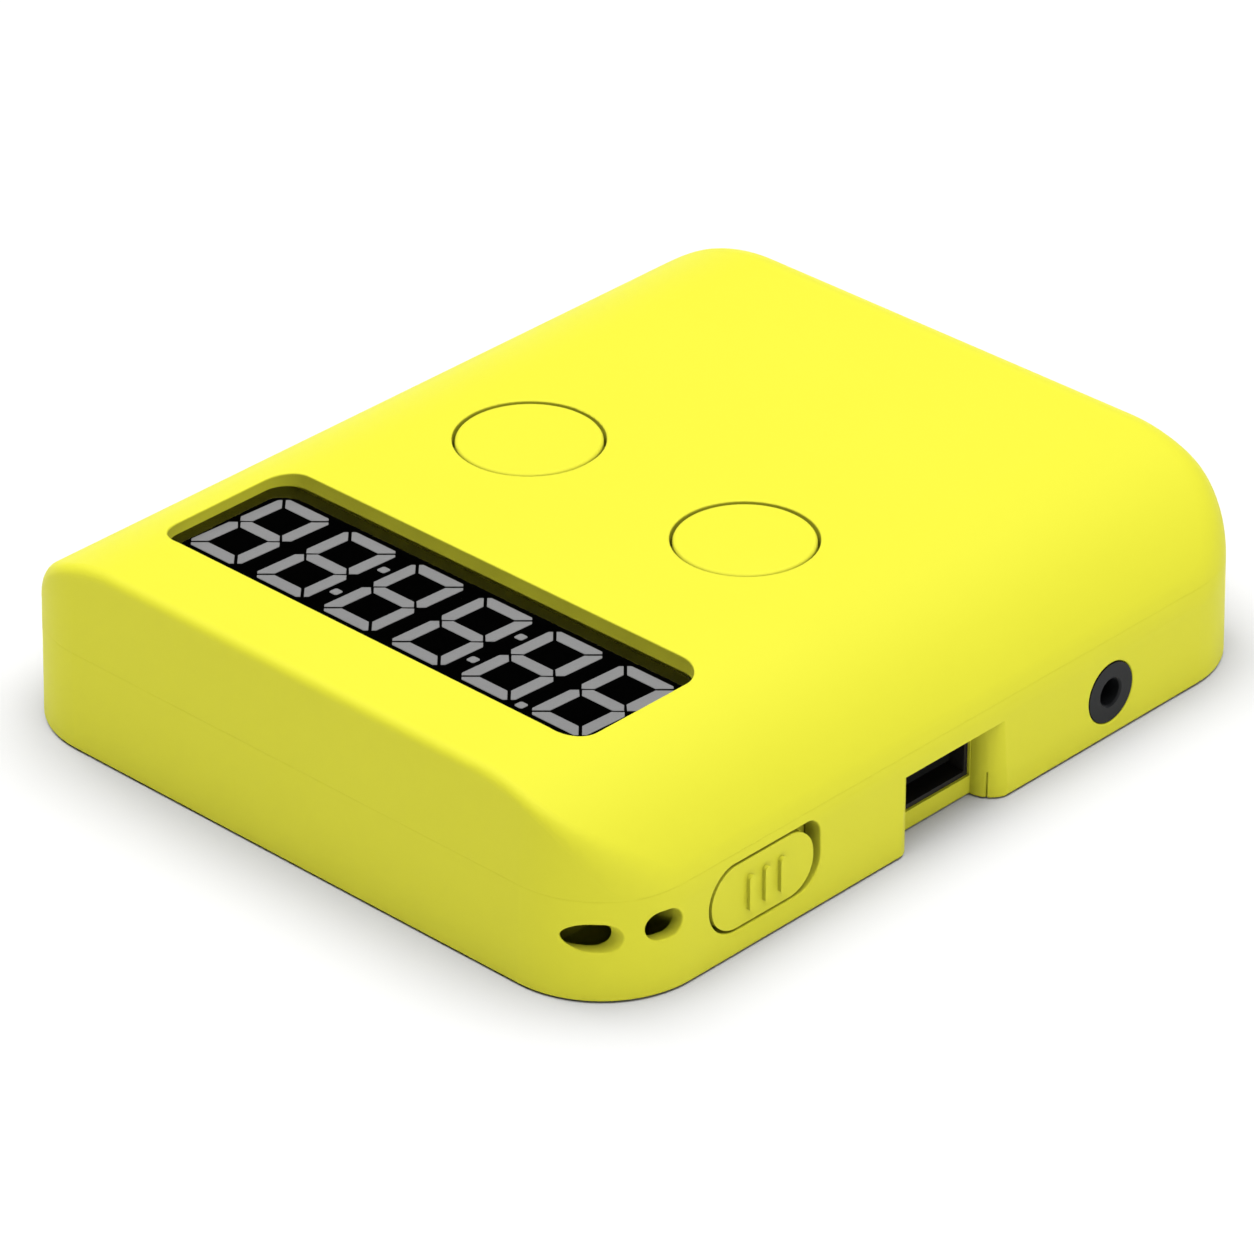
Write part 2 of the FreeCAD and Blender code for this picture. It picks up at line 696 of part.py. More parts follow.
def soften_rim(form):
    """Rounds the closed rim of the top: crisp in front, softer at the sides and the back."""
    doc.recompute()
    shape = form.Shape
    tops = [f for f in shape.Faces if face_tilt(f) > 0.3]
    rim = []
    for i, edge in enumerate(shape.Edges, start=1):
        shared = sum(1 for face in tops for other in face.Edges if edge.isSame(other))
        if shared == 1:
            rim.append((i, rim_radius(edge.Vertexes[0]), rim_radius(edge.Vertexes[-1])))
    rounded = doc.addObject("Part::Fillet", form.Name + "Rim")
    rounded.Base = form
    rounded.Edges = rim
    return rounded


def face_tilt(face):
    low_u, high_u, low_v, high_v = face.ParameterRange
    return face.normalAt((low_u + high_u) / 2, (low_v + high_v) / 2).z


def rim_radius(corner):
    """Radius of the rim at one of its corners."""
    near = HALF_DEPTH.number - 2.0
    if corner.Point.y < -near:
        return S.front_edge_radius.number
    if corner.Point.y > near:
        return S.back_edge_radius.number
    return S.side_edge_radius.number


outer_form = case_form("OuterForm", measure(0.0), TOP, True)
doc.recompute()
outer_form = round_edges("OuterRounded", outer_form, S.base_edge_radius, level_at(BASE.number))
cavity_form = case_form("CavityForm", S.wall, ROOF_INSIDE, False)
core_form = case_form("CoreForm", S.wall / 2, TOP - S.roof / 2, False)
above_base = box(
    "AboveBase", (-HALF_WIDTH, -HALF_DEPTH, BASE_INSIDE), (HALF_WIDTH, HALF_DEPTH, TOP)
)
cavity = meet("Cavity", cavity_form, above_base)
hollow_case = cut("HollowCase", outer_form, cavity)


def half_space(name, low, high):
    return box(name, (-CASE_WIDTH, -S.case_depth, low), (CASE_WIDTH, S.case_depth, high))


def lip_ring(name, gap):
    """The ring that the two shells lap by."""
    inset = S.wall - S.lip_thickness - gap
    outer = raised(
        name + "Outer",
        rounded_outline(
            name + "OuterPlan",
            CASE_WIDTH - 2 * inset,
            S.case_depth - 2 * inset,
            S.corner_radius - inset,
        ),
        S.parting_level - BASE + S.lip_height + gap,
        BASE,
        S.draft_angle,
    )
    above = half_space(name + "Above", S.parting_level, S.parting_level + S.lip_height + gap)
    return cut(name, meet(name + "Band", outer, above), cavity)


# ---------------------------------------------------------------- places that repeat

FRONT = -HALF_DEPTH
BACK = HALF_DEPTH


def four_places(front_x, front_y, back_x, back_y):
    """Two mirrored pairs, by their names."""
    return {
        "FrontLeft": (-front_x, front_y),
        "FrontRight": (front_x, front_y),
        "BackLeft": (-back_x, back_y),
        "BackRight": (back_x, back_y),
    }


WINDOW_Y = FRONT + S.window_front
WINDOW_LENGTH = CASE_WIDTH - 2 * S.window_side
CELL_OFFSET = S.battery_radius + S.battery_gap
BAY_HALF_X = BAY_LENGTH / 2
BAY_HALF_Y = CELL_OFFSET + S.battery_radius + S.bay_gap
BAY_X = S.bay_side + BAY_SPAN / 2 - HALF_WIDTH
BAY_Y = BACK - S.bay_back - S.bay_wall - BAY_HALF_Y
BOARD_HALF = HALF_WIDTH - S.board_side
BOARD_BACK = BAY_Y - BAY_HALF_Y - S.bay_wall - S.board_to_bay
BOARD_POST_X = BOARD_HALF - S.board_post_side
BUTTON_Y = BOARD_BACK - S.button_back
USB_Y = S.usb_behind
JACK_Y = BACK - S.jack_back
SIDE_BOARD_OUTER = HALF_WIDTH - S.side_board_side
SIDE_BOARD_INNER = SIDE_BOARD_OUTER - S.side_board_width
SIDE_POST_X = SIDE_BOARD_INNER + S.side_post_side

CASE_SCREWS = four_places(
    HALF_WIDTH - S.front_screw_side,
    FRONT + S.front_screw_front,
    HALF_WIDTH - S.back_screw_side,
    BACK - S.back_screw_back,
)
BOARD_SCREWS = four_places(
    BOARD_POST_X, WINDOW_Y + S.board_post_front, BOARD_POST_X, BOARD_BACK - S.board_post_back
)
FEET = four_places(
    HALF_WIDTH - S.front_foot_side,
    FRONT + S.front_foot_front,
    HALF_WIDTH - S.back_foot_side,
    BACK - S.back_foot_back,
)
SIDE_SCREWS = {
    "Front": (SIDE_POST_X, USB_Y - S.side_post_front),
    "Back": (SIDE_POST_X, JACK_Y - S.side_post_back),
}
BUTTONS = {
    "left": (S.buttons_right - S.button_side, S.left_button_radius),
    "right": (S.buttons_right + S.button_side, S.right_button_radius),
}
HEAD_SEAT = BASE + S.case_screw_sink
CASE_PILOT_TOP = HEAD_SEAT + S.case_screw_length + 0.5
BOARD_PILOT_TOP = S.board_level + S.board_screw_length + 0.3

# ---------------------------------------------------------------- top shell

LENS_LENGTH = WINDOW_LENGTH + 2 * S.lens_border
LENS_WIDTH = S.window_width + 2 * S.lens_border
SEAT_X = LENS_LENGTH / 2 + S.lens_gap
SEAT_Y = LENS_WIDTH / 2 + S.lens_gap

top_half = meet(
    "TopHalf", hollow_case, half_space("TopSpace", S.parting_level, TOP + 1.0)
)
posts = [
    rod(f"TopPost{at}", S.top_post_radius, (x, y, S.parting_level), TOP - S.parting_level)
    for at, (x, y) in CASE_SCREWS.items()
]
posts += [
    rod(f"BoardPost{at}", S.board_post_radius, (x, y, BOARD_TOP), TOP - BOARD_TOP)
    for at, (x, y) in BOARD_SCREWS.items()
]
GUIDE_REACH = S.flange_reach + S.guide_gap
GUIDE_DROP = S.flange_thickness + S.press_travel
guides = [
    rod(
        f"{side.title()}Guide",
        radius + GUIDE_REACH + S.guide_wall,
        (x, BUTTON_Y, ROOF_INSIDE - GUIDE_DROP),
        GUIDE_DROP + 0.5,
    )
    for side, (x, radius) in BUTTONS.items()
]
fence = box(
    "Fence",
    (-SEAT_X - S.fence_thickness, WINDOW_Y - SEAT_Y - S.fence_thickness, LENS_TOP - S.fence_drop),
    (SEAT_X + S.fence_thickness, WINDOW_Y + SEAT_Y + S.fence_thickness, LENS_TOP + 0.5),
)
fittings = meet("TopFittings", core_form, join("TopFittingsRaw", fence, *posts, *guides))
window_sketch = rounded_outline("WindowPlan", WINDOW_LENGTH, S.window_width, S.window_corner)
window_hole = raised("WindowHole", window_sketch, S.window_recess + 1.0, LENS_TOP - 0.5)
place(window_hole, 0, WINDOW_Y, LENS_TOP - 0.5)
lens_seat = box(
    "LensSeat",
    (-SEAT_X, WINDOW_Y - SEAT_Y, BOARD_TOP - 1.0),
    (SEAT_X, WINDOW_Y + SEAT_Y, LENS_TOP),
)
button_holes = [
    rod(
        f"{side.title()}ButtonHole",
        radius + S.button_gap,
        (x, BUTTON_Y, ROOF_INSIDE - GUIDE_DROP - 0.5),
        GUIDE_DROP + S.roof + 1.0,
    )
    for side, (x, radius) in BUTTONS.items()
]
flange_bores = [
    rod(
        f"{side.title()}FlangeBore",
        radius + GUIDE_REACH,
        (x, BUTTON_Y, ROOF_INSIDE - GUIDE_DROP - 0.5),
        GUIDE_DROP + 0.5,
    )
    for side, (x, radius) in BUTTONS.items()
]
top_pilots = [
    rod(
        f"TopPilot{at}",
        S.case_screw_radius + S.pilot_clearance,
        (x, y, S.parting_level - 1.0),
        CASE_PILOT_TOP - S.parting_level + 1.0,
    )
    for at, (x, y) in CASE_SCREWS.items()
]
board_pilots = [
    rod(
        f"BoardPilot{at}",
        S.board_screw_radius + S.pilot_clearance,
        (x, y, BOARD_TOP - 0.5),
        BOARD_PILOT_TOP - BOARD_TOP + 0.5,
    )
    for at, (x, y) in BOARD_SCREWS.items()
]
top_opened = cut(
    "TopOpened",
    join("TopJoined", top_half, fittings),
    window_hole,
    lens_seat,
    lip_ring("LipGroove", S.lip_gap),
)
top_solid = cut(
    "TopSolid", top_opened, *button_holes, *flange_bores, *top_pilots, *board_pilots
)


def outer_edge_at(height):
    """Picks the case's outline at a height."""
    flat = level_at(height)
    near = HALF_WIDTH.number - S.wall.number / 2
    deep = HALF_DEPTH.number - S.wall.number / 2

    def wanted(edge):
        extent = edge.BoundBox
        wide = max(abs(extent.XMin), abs(extent.XMax)) > near
        long = max(abs(extent.YMin), abs(extent.YMax)) > deep
        return flat(edge) and (wide or long)

    return wanted


top_parted = round_edges(
    "TopParted", top_solid, S.parting_edge, outer_edge_at(S.parting_level.number)
)
piece(
    "top_shell",
    round_edges("TopShell", top_parted, S.opening_edge, rim_of(window_hole, *button_holes)),
)

# ---------------------------------------------------------------- battery bay (in the bottom shell)

CELL_LEVEL = BASE + S.cover_thickness + S.battery_lift + S.battery_radius
BAY_TOP = CELL_LEVEL + S.battery_radius + S.bay_gap
BAY_ROOF = BAY_TOP + S.bay_roof
PLATE_LEFT = BAY_X - BAY_HALF_X
PLATE_RIGHT = BAY_X + BAY_HALF_X
TAB_TOP = BAY_ROOF + S.tab_rise
FRONT_CELL_Y = BAY_Y - CELL_OFFSET
BACK_CELL_Y = BAY_Y + CELL_OFFSET

bay_block = box(
    "BayBlock",
    (PLATE_LEFT - S.bay_wall, BAY_Y - BAY_HALF_Y - S.bay_wall, BASE + S.cover_thickness),
    (PLATE_RIGHT + S.bay_wall, BAY_Y + BAY_HALF_Y + S.bay_wall, BAY_ROOF),
)
under_roof = case_form("UnderRoof", S.wall + S.lip_gap, ROOF_INSIDE - S.lip_gap, False)
bay_block = meet("BayBlockTrimmed", bay_block, under_roof)
bay_room = box(
    "BayRoom",
    (PLATE_LEFT, BAY_Y - BAY_HALF_Y, BASE - 1.0),
    (PLATE_RIGHT, BAY_Y + BAY_HALF_Y, BAY_TOP),
)
cover_seat = box(
    "CoverSeat",
    (PLATE_LEFT - S.cover_lap, BAY_Y - BAY_HALF_Y - S.cover_lap, BASE - 1.0),
    (PLATE_RIGHT + S.cover_lap, BAY_Y + BAY_HALF_Y + S.cover_lap, BASE + S.cover_thickness),
)
cover_seat = round_edges("CoverSeatRounded", cover_seat, S.cover_corner, upright)
finger_notch = rod(
    "FingerNotch",
    S.finger_notch_radius,
    (BAY_X, BAY_Y + BAY_HALF_Y + S.cover_lap - 1.5, BASE - 1.0),
    S.finger_notch_depth + 1.0,
)
tab_slots = [
    box(
        f"{at}TabSlot",
        (PLATE_RIGHT - S.plate_thickness - S.tab_gap, y - S.tab_width / 2 - S.tab_gap, BAY_TOP - 0.5),
        (PLATE_RIGHT + S.tab_gap, y + S.tab_width / 2 + S.tab_gap, BAY_ROOF + 0.5),
    )
    for at, y in (("Front", FRONT_CELL_Y), ("Back", BACK_CELL_Y))
]

# ---------------------------------------------------------------- USB recess and socket opening

RECESS_BACK = HALF_WIDTH - S.recess_depth
RECESS_HALF = S.recess_width / 2
RECESS_REACH = RECESS_HALF + S.recess_round
FAR = HALF_WIDTH + 2.0

recess_block = box(
    "RecessBlock",
    (RECESS_BACK - S.recess_wall, USB_Y - RECESS_REACH - S.recess_wall, BASE),
    (HALF_WIDTH - 1.0, USB_Y + RECESS_REACH + S.recess_wall, S.recess_top + S.recess_wall),
)
recess_room = box(
    "RecessRoom",
    (RECESS_BACK, USB_Y - RECESS_REACH, BASE - 1.0),
    (FAR, USB_Y + RECESS_REACH, S.recess_top),
)
recess_cut = cut(
    "RecessCut",
    recess_room,
    *[
        rod("RecessRound" + at, S.recess_round, (RECESS_BACK, y, BASE - 2.0), S.recess_top + 3.0)
        for at, y in (("Front", USB_Y - RECESS_REACH), ("Back", USB_Y + RECESS_REACH))
    ],
)
SLIT_X = HALF_WIDTH - S.recess_slit_side
recess_slit = box(
    "RecessSlit",
    (SLIT_X, USB_Y + RECESS_HALF, BASE - 1.0),
    (
        SLIT_X + S.recess_slit_width,
        USB_Y + RECESS_HALF + S.recess_slit_reach,
        BASE + S.recess_slit_height,
    ),
)
port_hole = box(
    "PortHole",
    (RECESS_BACK - S.recess_wall - 1.0, USB_Y - S.port_width / 2, S.usb_level - S.port_height / 2),
    (RECESS_BACK + 1.0, USB_Y + S.port_width / 2, S.usb_level + S.port_height / 2),
)

# ---------------------------------------------------------------- slot, lanyard and jack openings

SLOT_Y0 = FRONT + S.slot_front
SLOT_Y1 = SLOT_Y0 + S.slot_length
SLOT_LOW = S.slot_level - S.slot_height / 2
SLOT_HIGH = S.slot_level + S.slot_height / 2
INWARD = HALF_WIDTH - S.wall - 1.0


def slot_solid(name, y0, y1, low, high, x0, x1, low_corner, high_corner):
    """A bar along X with a half-round front end and two round corners at its back end."""
    radius = (high - low) / 2
    nose = rod(name + "Nose", radius, (x0, y0 + radius, (low + high) / 2), x1 - x0, "x")
    bar = box(name + "Bar", (x0, y0 + radius, low), (x1, y1 - low_corner, high))
    tail = box(
        name + "Tail", (x0, y0 + radius, low + low_corner), (x1, y1, high - high_corner)
    )
    shoulder = box(
        name + "Shoulder", (x0, y0 + radius, low + low_corner), (x1, y1 - high_corner, high)
    )
    corners = [
        rod(name + "Corner" + at, size, (x0, y1 - size, z), x1 - x0, "x")
        for at, size, z in (
            ("Low", low_corner, low + low_corner),
            ("High", high_corner, high - high_corner),
        )
    ]
    return join(name, nose, bar, tail, shoulder, *corners)


slot_hole = slot_solid(
    "SlotHole",
    SLOT_Y0,
    SLOT_Y1,
    SLOT_LOW,
    SLOT_HIGH,
    INWARD,
    FAR,
    S.slot_low_corner,
    S.slot_high_corner,
)


def oblong(name, y, z, width, height, x0, x1):
    """A flat-sided round hole along X."""
    radius = height / 2
    reach = (width - height) / 2
    middle = box(name + "Middle", (x0, y - reach, z - radius), (x1, y + reach, z + radius))
    ends = [
        rod(name + at, radius, (x0, end, z), x1 - x0, "x")
        for at, end in (("Front", y - reach), ("Back", y + reach))
    ]
    return join(name, middle, *ends)


POCKET_X = HALF_WIDTH - S.lanyard_pocket_depth
POCKET_Y = FRONT + S.lanyard_pocket_back
lanyard_holes = [
    oblong(name, FRONT + behind, level, width, S.lanyard_height, POCKET_X + 0.5, FAR)
    for name, behind, level, width in (
        ("LanyardFront", S.lanyard_front, S.lanyard_front_level, S.lanyard_front_width),
        ("LanyardBack", S.lanyard_back, S.lanyard_back_level, S.lanyard_back_width),
    )
]
pocket_side = box(
    "PocketSide",
    (POCKET_X - S.pocket_wall, FRONT, BASE),
    (POCKET_X, POCKET_Y + S.pocket_wall, S.parting_level),
)
pocket_back = box(
    "PocketBack",
    (POCKET_X - S.pocket_wall, POCKET_Y, BASE),
    (HALF_WIDTH, POCKET_Y + S.pocket_wall, S.parting_level),
)
thin_room = meet(
    "ThinRoom",
    case_form("ThinForm", S.lanyard_wall, ROOF_INSIDE, False),
    box(
        "ThinBox",
        (POCKET_X, FRONT, S.lanyard_front_level - S.lanyard_wall_reach),
        (HALF_WIDTH, POCKET_Y, S.lanyard_front_level + S.lanyard_wall_reach),
    ),
)
jack_hole = rod(
    "JackHole",
    S.jack_nose_radius + S.jack_hole_gap,
    (INWARD, JACK_Y, S.jack_level),
    FAR - INWARD,
    "x",
)

# ---------------------------------------------------------------- bottom shell

bottom_half = meet(
    "BottomHalf", hollow_case, half_space("BottomSpace", BASE - 1.0, S.parting_level)
)
bottom_posts = [
    rod(f"BottomPost{at}", S.bottom_post_radius, (x, y, BASE), S.parting_level - BASE)
    for at, (x, y) in CASE_SCREWS.items()
]
side_posts = [
    rod(f"SidePost{at}", S.board_post_radius, (x, y, BASE), S.side_board_level - BASE)
    for at, (x, y) in SIDE_SCREWS.items()
]
bottom_fittings = meet(
    "BottomFittings",
    core_form,
    join(
        "BottomFittingsRaw",
        recess_block,
        pocket_side,
        pocket_back,
        *bottom_posts,
        *side_posts,
    ),
)
screw_bores = [
    rod(
        f"ScrewBore{at}",
        S.case_screw_radius + S.case_screw_clearance,
        (x, y, BASE - 1.0),
        S.parting_level - BASE + 2.0,
    )
    for at, (x, y) in CASE_SCREWS.items()
]
screw_sinks = [
    rod(
        f"ScrewSink{at}",
        S.case_screw_head_radius + S.pilot_clearance * 2,
        (x, y, BASE - 1.0),
        S.case_screw_sink + 1.0,
    )
    for at, (x, y) in CASE_SCREWS.items()
]
SIDE_TIP = S.side_board_level + S.side_board_thickness - S.board_screw_length
side_pilots = [
    rod(
        f"SidePilot{at}",
        S.board_screw_radius + S.pilot_clearance,
        (x, y, SIDE_TIP - 0.3),
        S.side_board_level - SIDE_TIP + 1.0,
    )
    for at, (x, y) in SIDE_SCREWS.items()
]
foot_seats = [
    rod(f"FootSeat{at}", S.foot_radius, (x, y, BASE - 1.0), S.foot_seat + 1.0)
    for at, (x, y) in FEET.items()
]
bottom_solid = cut(
    "BottomSolid",
    join(
        "BottomJoined",
        bottom_half,
        lip_ring("Lip", measure(0.0)),
        bottom_fittings,
        bay_block,
    ),
    bay_room,
    cover_seat,
    finger_notch,
    recess_cut,
    recess_slit,
    port_hole,
    slot_hole,
    jack_hole,
    *tab_slots,
    *lanyard_holes,
    thin_room,
    *screw_bores,
    *screw_sinks,
    *side_pilots,
    *foot_seats,
)
bottom_parted = round_edges(
    "BottomParted", bottom_solid, S.parting_edge, outer_edge_at(S.parting_level.number)
)
side_openings = [recess_room, slot_hole, jack_hole, *lanyard_holes]
piece(
    "bottom_shell",
    round_edges("BottomShell", bottom_parted, S.opening_edge, rim_of(*side_openings)),
)

# ---------------------------------------------------------------- battery cover

COVER_X = BAY_HALF_X + S.cover_lap - S.cover_gap
COVER_Y = BAY_HALF_Y + S.cover_lap - S.cover_gap
COVER_RIB_HALF = BAY_HALF_X - S.cover_rib_end
cover_plate = box(
    "CoverPlate",
    (BAY_X - COVER_X, BAY_Y - COVER_Y, BASE),
    (BAY_X + COVER_X, BAY_Y + COVER_Y, BASE + S.cover_thickness),
)
cover_plate = round_edges("CoverPlateRounded", cover_plate, S.cover_corner, upright)
cover_rib = box(
    "CoverRib",
    (BAY_X - COVER_RIB_HALF, BAY_Y - S.cover_rib_width / 2, BASE + S.cover_thickness - 0.5),
    (
        BAY_X + COVER_RIB_HALF,
        BAY_Y + S.cover_rib_width / 2,
        BASE + S.cover_thickness + S.cover_rib_height,
    ),
)
cover_notch = rod(
    "CoverNotch",
    S.finger_notch_radius,
    (BAY_X, BAY_Y + BAY_HALF_Y + S.cover_lap - 1.5, BASE - 1.0),
    S.finger_notch_depth + 1.0,
)
grip_grooves = [
    box(
        f"GripGroove{i}",
        (
            BAY_X - S.cover_grip_length / 2,
            BAY_Y + COVER_Y - 6.5 - i * 2 * S.cover_grip_width,
            BASE - 1.0,
        ),
        (
            BAY_X + S.cover_grip_length / 2,
            BAY_Y + COVER_Y - 6.5 - i * 2 * S.cover_grip_width + S.cover_grip_width,
            BASE + S.cover_grip_depth,
        ),
    )
    for i in range(4)
]
piece(
    "battery_cover",
    cut("BatteryCover", join("CoverJoined", cover_plate, cover_rib), cover_notch, *grip_grooves),
)

# ---------------------------------------------------------------- display

piece(
    "display_window",
    box(
        "DisplayWindow",
        (-LENS_LENGTH / 2, WINDOW_Y - LENS_WIDTH / 2, LENS_LOW),
        (LENS_LENGTH / 2, WINDOW_Y + LENS_WIDTH / 2, LENS_TOP),
    ),
)
PANEL_X = LENS_LENGTH / 2 - S.panel_inset
PANEL_Y = LENS_WIDTH / 2 - S.panel_inset
rear_plate = box(
    "RearGlass",
    (-PANEL_X, WINDOW_Y - PANEL_Y, PANEL_LOW),
    (PANEL_X, WINDOW_Y + PANEL_Y, PANEL_LOW + S.rear_glass),
)
front_plate = box(
    "FrontGlass",
    (-PANEL_X, WINDOW_Y - PANEL_Y, PANEL_LOW),
    (PANEL_X, WINDOW_Y + PANEL_Y - S.panel_ledge, PANEL_TOP),
)
piece("lcd_panel", join("LcdPanel", rear_plate, front_plate))


DIGIT_PITCH = (WINDOW_LENGTH - 2 * S.digits_side) / S.digit_count


def segment_shapes():
    """The outlines of one digit's seven segments, centred on the digit: lists of (x, y)."""
    right, top = (DIGIT_PITCH - S.digit_space).number / 2, S.digit_height.number / 2
    stroke, slit = S.digit_stroke.number, S.digit_slit.number
    chamfer, nip = S.digit_chamfer.number, slit / math.sqrt(2)
    tip = 0.4 * stroke
    flat = [
        (-right + chamfer, top),
        (right - chamfer, top),
        (right - (chamfer + nip) / 2, top - (chamfer - nip) / 2),
        (right - stroke - nip, top - stroke),
        (-right + stroke + nip, top - stroke),
        (-right + (chamfer + nip) / 2, top - (chamfer - nip) / 2),
    ]
    bar = [
        (-right + tip + nip, 0),
        (-right + tip + nip + stroke / 2, stroke / 2),
        (right - tip - nip - stroke / 2, stroke / 2),
        (right - tip - nip, 0),
        (right - tip - nip - stroke / 2, -stroke / 2),
        (-right + tip + nip + stroke / 2, -stroke / 2),
    ]
    side = [
        (right, top - chamfer),
        (right, tip + slit / 2),
        (right - tip, slit / 2),
        (right - stroke, stroke / 2 + nip),
        (right - stroke, top - stroke - nip),
        (right - (chamfer - nip) / 2, top - (chamfer + nip) / 2),
    ]
    flip_y = lambda outline: [(x, -y) for x, y in outline]
    flip_x = lambda outline: [(-x, y) for x, y in outline]
    return [flat, bar, flip_y(flat), side, flip_y(side), flip_x(side), flip_x(flip_y(side))]


def thin_plate(outline, x, y):
    """A printed shape on the panel: a slanted outline moved to x, y."""
    slope = math.tan(math.radians(S.digit_slant.number))
    level = PANEL_TOP.number
    points = [Vector(x + px + slope * py, y + py, level) for px, py in outline]
    face = Part.Face(Part.makePolygon(points + points[:1]))
    return face.extrude(Vector(0, 0, S.segment_thickness.number))


def display_segments():
    """Six figures, two colons and a decimal point."""
    count = int(S.digit_count.number)
    pitch, middle_y = DIGIT_PITCH.number, (WINDOW_Y + S.digits_shift).number
    first = S.digits_right.number - pitch * (count - 1) / 2
    size = S.dot_size.number / 2
    clip = size * 0.3
    dot = [
        (-size, -size + clip),
        (-size + clip, -size),
        (size - clip, -size),
        (size, -size + clip),
        (size, size - clip),
        (size - clip, size),
        (-size + clip, size),
        (-size, size - clip),
    ]
    plates = [
        thin_plate(outline, first + i * pitch, middle_y)
        for i in range(count)
        for outline in segment_shapes()
    ]
    spread = S.colon_spread.number
    foot = -S.digit_height.number / 2 + size
    slope = math.tan(math.radians(S.digit_slant.number))
    for after, heights in ((1, (spread, -spread)), (3, (spread, -spread)), (4, (foot,))):
        x = first + (after + 0.5) * pitch
        plates += [thin_plate(dot, x + slope * h, middle_y + h) for h in heights]
    return Part.makeCompound(plates)


segments = doc.addObject("Part::Feature", "LcdSegments")
segments.Shape = display_segments()
piece("lcd_segments", segments)

FRAME_X = LENS_LENGTH / 2
FRAME_Y = LENS_WIDTH / 2
STRIP_HALF = WINDOW_LENGTH / 2 - S.strip_side
STRIP_INSET = S.frame_wall + S.strip_gap + S.strip_width / 2
STRIP_ROWS = {
    "Front": WINDOW_Y - FRAME_Y + STRIP_INSET,
    "Back": WINDOW_Y + FRAME_Y - STRIP_INSET,
}
frame_block = box(
    "FrameBlock",
    (-FRAME_X, WINDOW_Y - FRAME_Y, BOARD_TOP),
    (FRAME_X, WINDOW_Y + FRAME_Y, PANEL_LOW),
)
opening_half = FRAME_Y - 2 * STRIP_INSET - S.frame_wall
frame_opening = box(
    "FrameOpening",
    (-STRIP_HALF, WINDOW_Y - opening_half, BOARD_TOP - 1.0),
    (STRIP_HALF, WINDOW_Y + opening_half, PANEL_LOW + 1.0),
)
strip_slots = [
    box(
        f"StripSlot{at}",
        (-STRIP_HALF - S.strip_gap, y - S.strip_width / 2 - S.strip_gap, BOARD_TOP - 1.0),
        (STRIP_HALF + S.strip_gap, y + S.strip_width / 2 + S.strip_gap, PANEL_LOW + 1.0),
    )
    for at, y in STRIP_ROWS.items()
]
piece("lcd_frame", cut("LcdFrame", frame_block, frame_opening, *strip_slots))
piece(
    "zebra_strips",
    group(
        "ZebraStrips",
        *[
            box(
                f"Strip{at}",
                (-STRIP_HALF, y - S.strip_width / 2, BOARD_TOP),
                (STRIP_HALF, y + S.strip_width / 2, PANEL_LOW),
            )
            for at, y in STRIP_ROWS.items()
        ],
    ),
)

# ---------------------------------------------------------------- main board and what is on it

board_plate = box(
    "BoardPlate",
    (-BOARD_HALF, FRONT + S.board_front, S.board_level),
    (BOARD_HALF, BOARD_BACK, BOARD_TOP),
)
board_plate = round_edges("BoardPlateRounded", board_plate, S.board_corner, upright)
board_holes = [
    rod(
        f"BoardHole{at}",
        S.board_screw_radius + S.board_hole_clearance,
        (x, y, S.board_level - 1.0),
        S.board_thickness + 2.0,
    )
    for at, (x, y) in BOARD_SCREWS.items()
]
piece("main_board", cut("MainBoard", board_plate, *board_holes))


def screw(name, x, y, seat, head_radius, head_height, radius, length, up):
    """A pan-headed screw with a cross recess. Its head's underside is at the seat."""
    axis, away = ("z", -1.0) if up else ("-z", 1.0)
    profile = [
        (measure(0), measure(0)),
        (head_radius * 0.7, measure(0)),
        (head_radius, head_height * 0.55),
        (head_radius, head_height),
        (radius, head_height),
        (radius, head_height + length - radius),
        (radius * 0.3, head_height + length),
        (measure(0), head_height + length),
    ]
    body = place(turned(name, profile), x, y, seat + head_height * away, axis)
    arm, deep = head_radius * 0.55, head_height * 0.5
    slit = head_radius * 0.13
    head_face = seat + head_height * away
    low, high = (head_face - 1.0, head_face + deep) if up else (head_face - deep, head_face + 1.0)
    cross = [
        box(f"{name}Cross{i}", (x - a, y - b, low), (x + a, y + b, high))
        for i, (a, b) in enumerate(((arm, slit), (slit, arm)))
    ]
    return cut(name + "Cut", body, *cross)


piece(
    "board_screws",
    group(
        "BoardScrews",
        *[
            screw(
                f"BoardScrew{at}",
                x,
                y,
                S.board_level,
                S.board_screw_head_radius,
                S.board_screw_head_height,
                S.board_screw_radius,
                S.board_screw_length,
                True,
            )
            for at, (x, y) in BOARD_SCREWS.items()
        ],
    ),
)

CHIP_Y = WINDOW_Y + S.chip_shift
CRYSTAL_Y = WINDOW_Y + S.crystal_shift
CAPACITOR_Y = WINDOW_Y + S.capacitor_shift
chip_ball = (S.chip_radius * S.chip_radius + S.chip_height * S.chip_height) / (2 * S.chip_height)
chip_sphere = doc.addObject("Part::Sphere", "ChipSphere")
bind(chip_sphere, Radius=chip_ball)
place(chip_sphere, S.chip_side, CHIP_Y, S.board_level - S.chip_height + chip_ball)
chip_space = box(
    "ChipSpace",
    (
        S.chip_side - S.chip_radius - 1.0,
        CHIP_Y - S.chip_radius - 1.0,
        S.board_level - S.chip_height - 1.0,
    ),
    (
        S.chip_side + S.chip_radius + 1.0,
        CHIP_Y + S.chip_radius + 1.0,
        S.board_level,
    ),
)
piece("controller_chip", meet("ControllerChip", chip_sphere, chip_space))

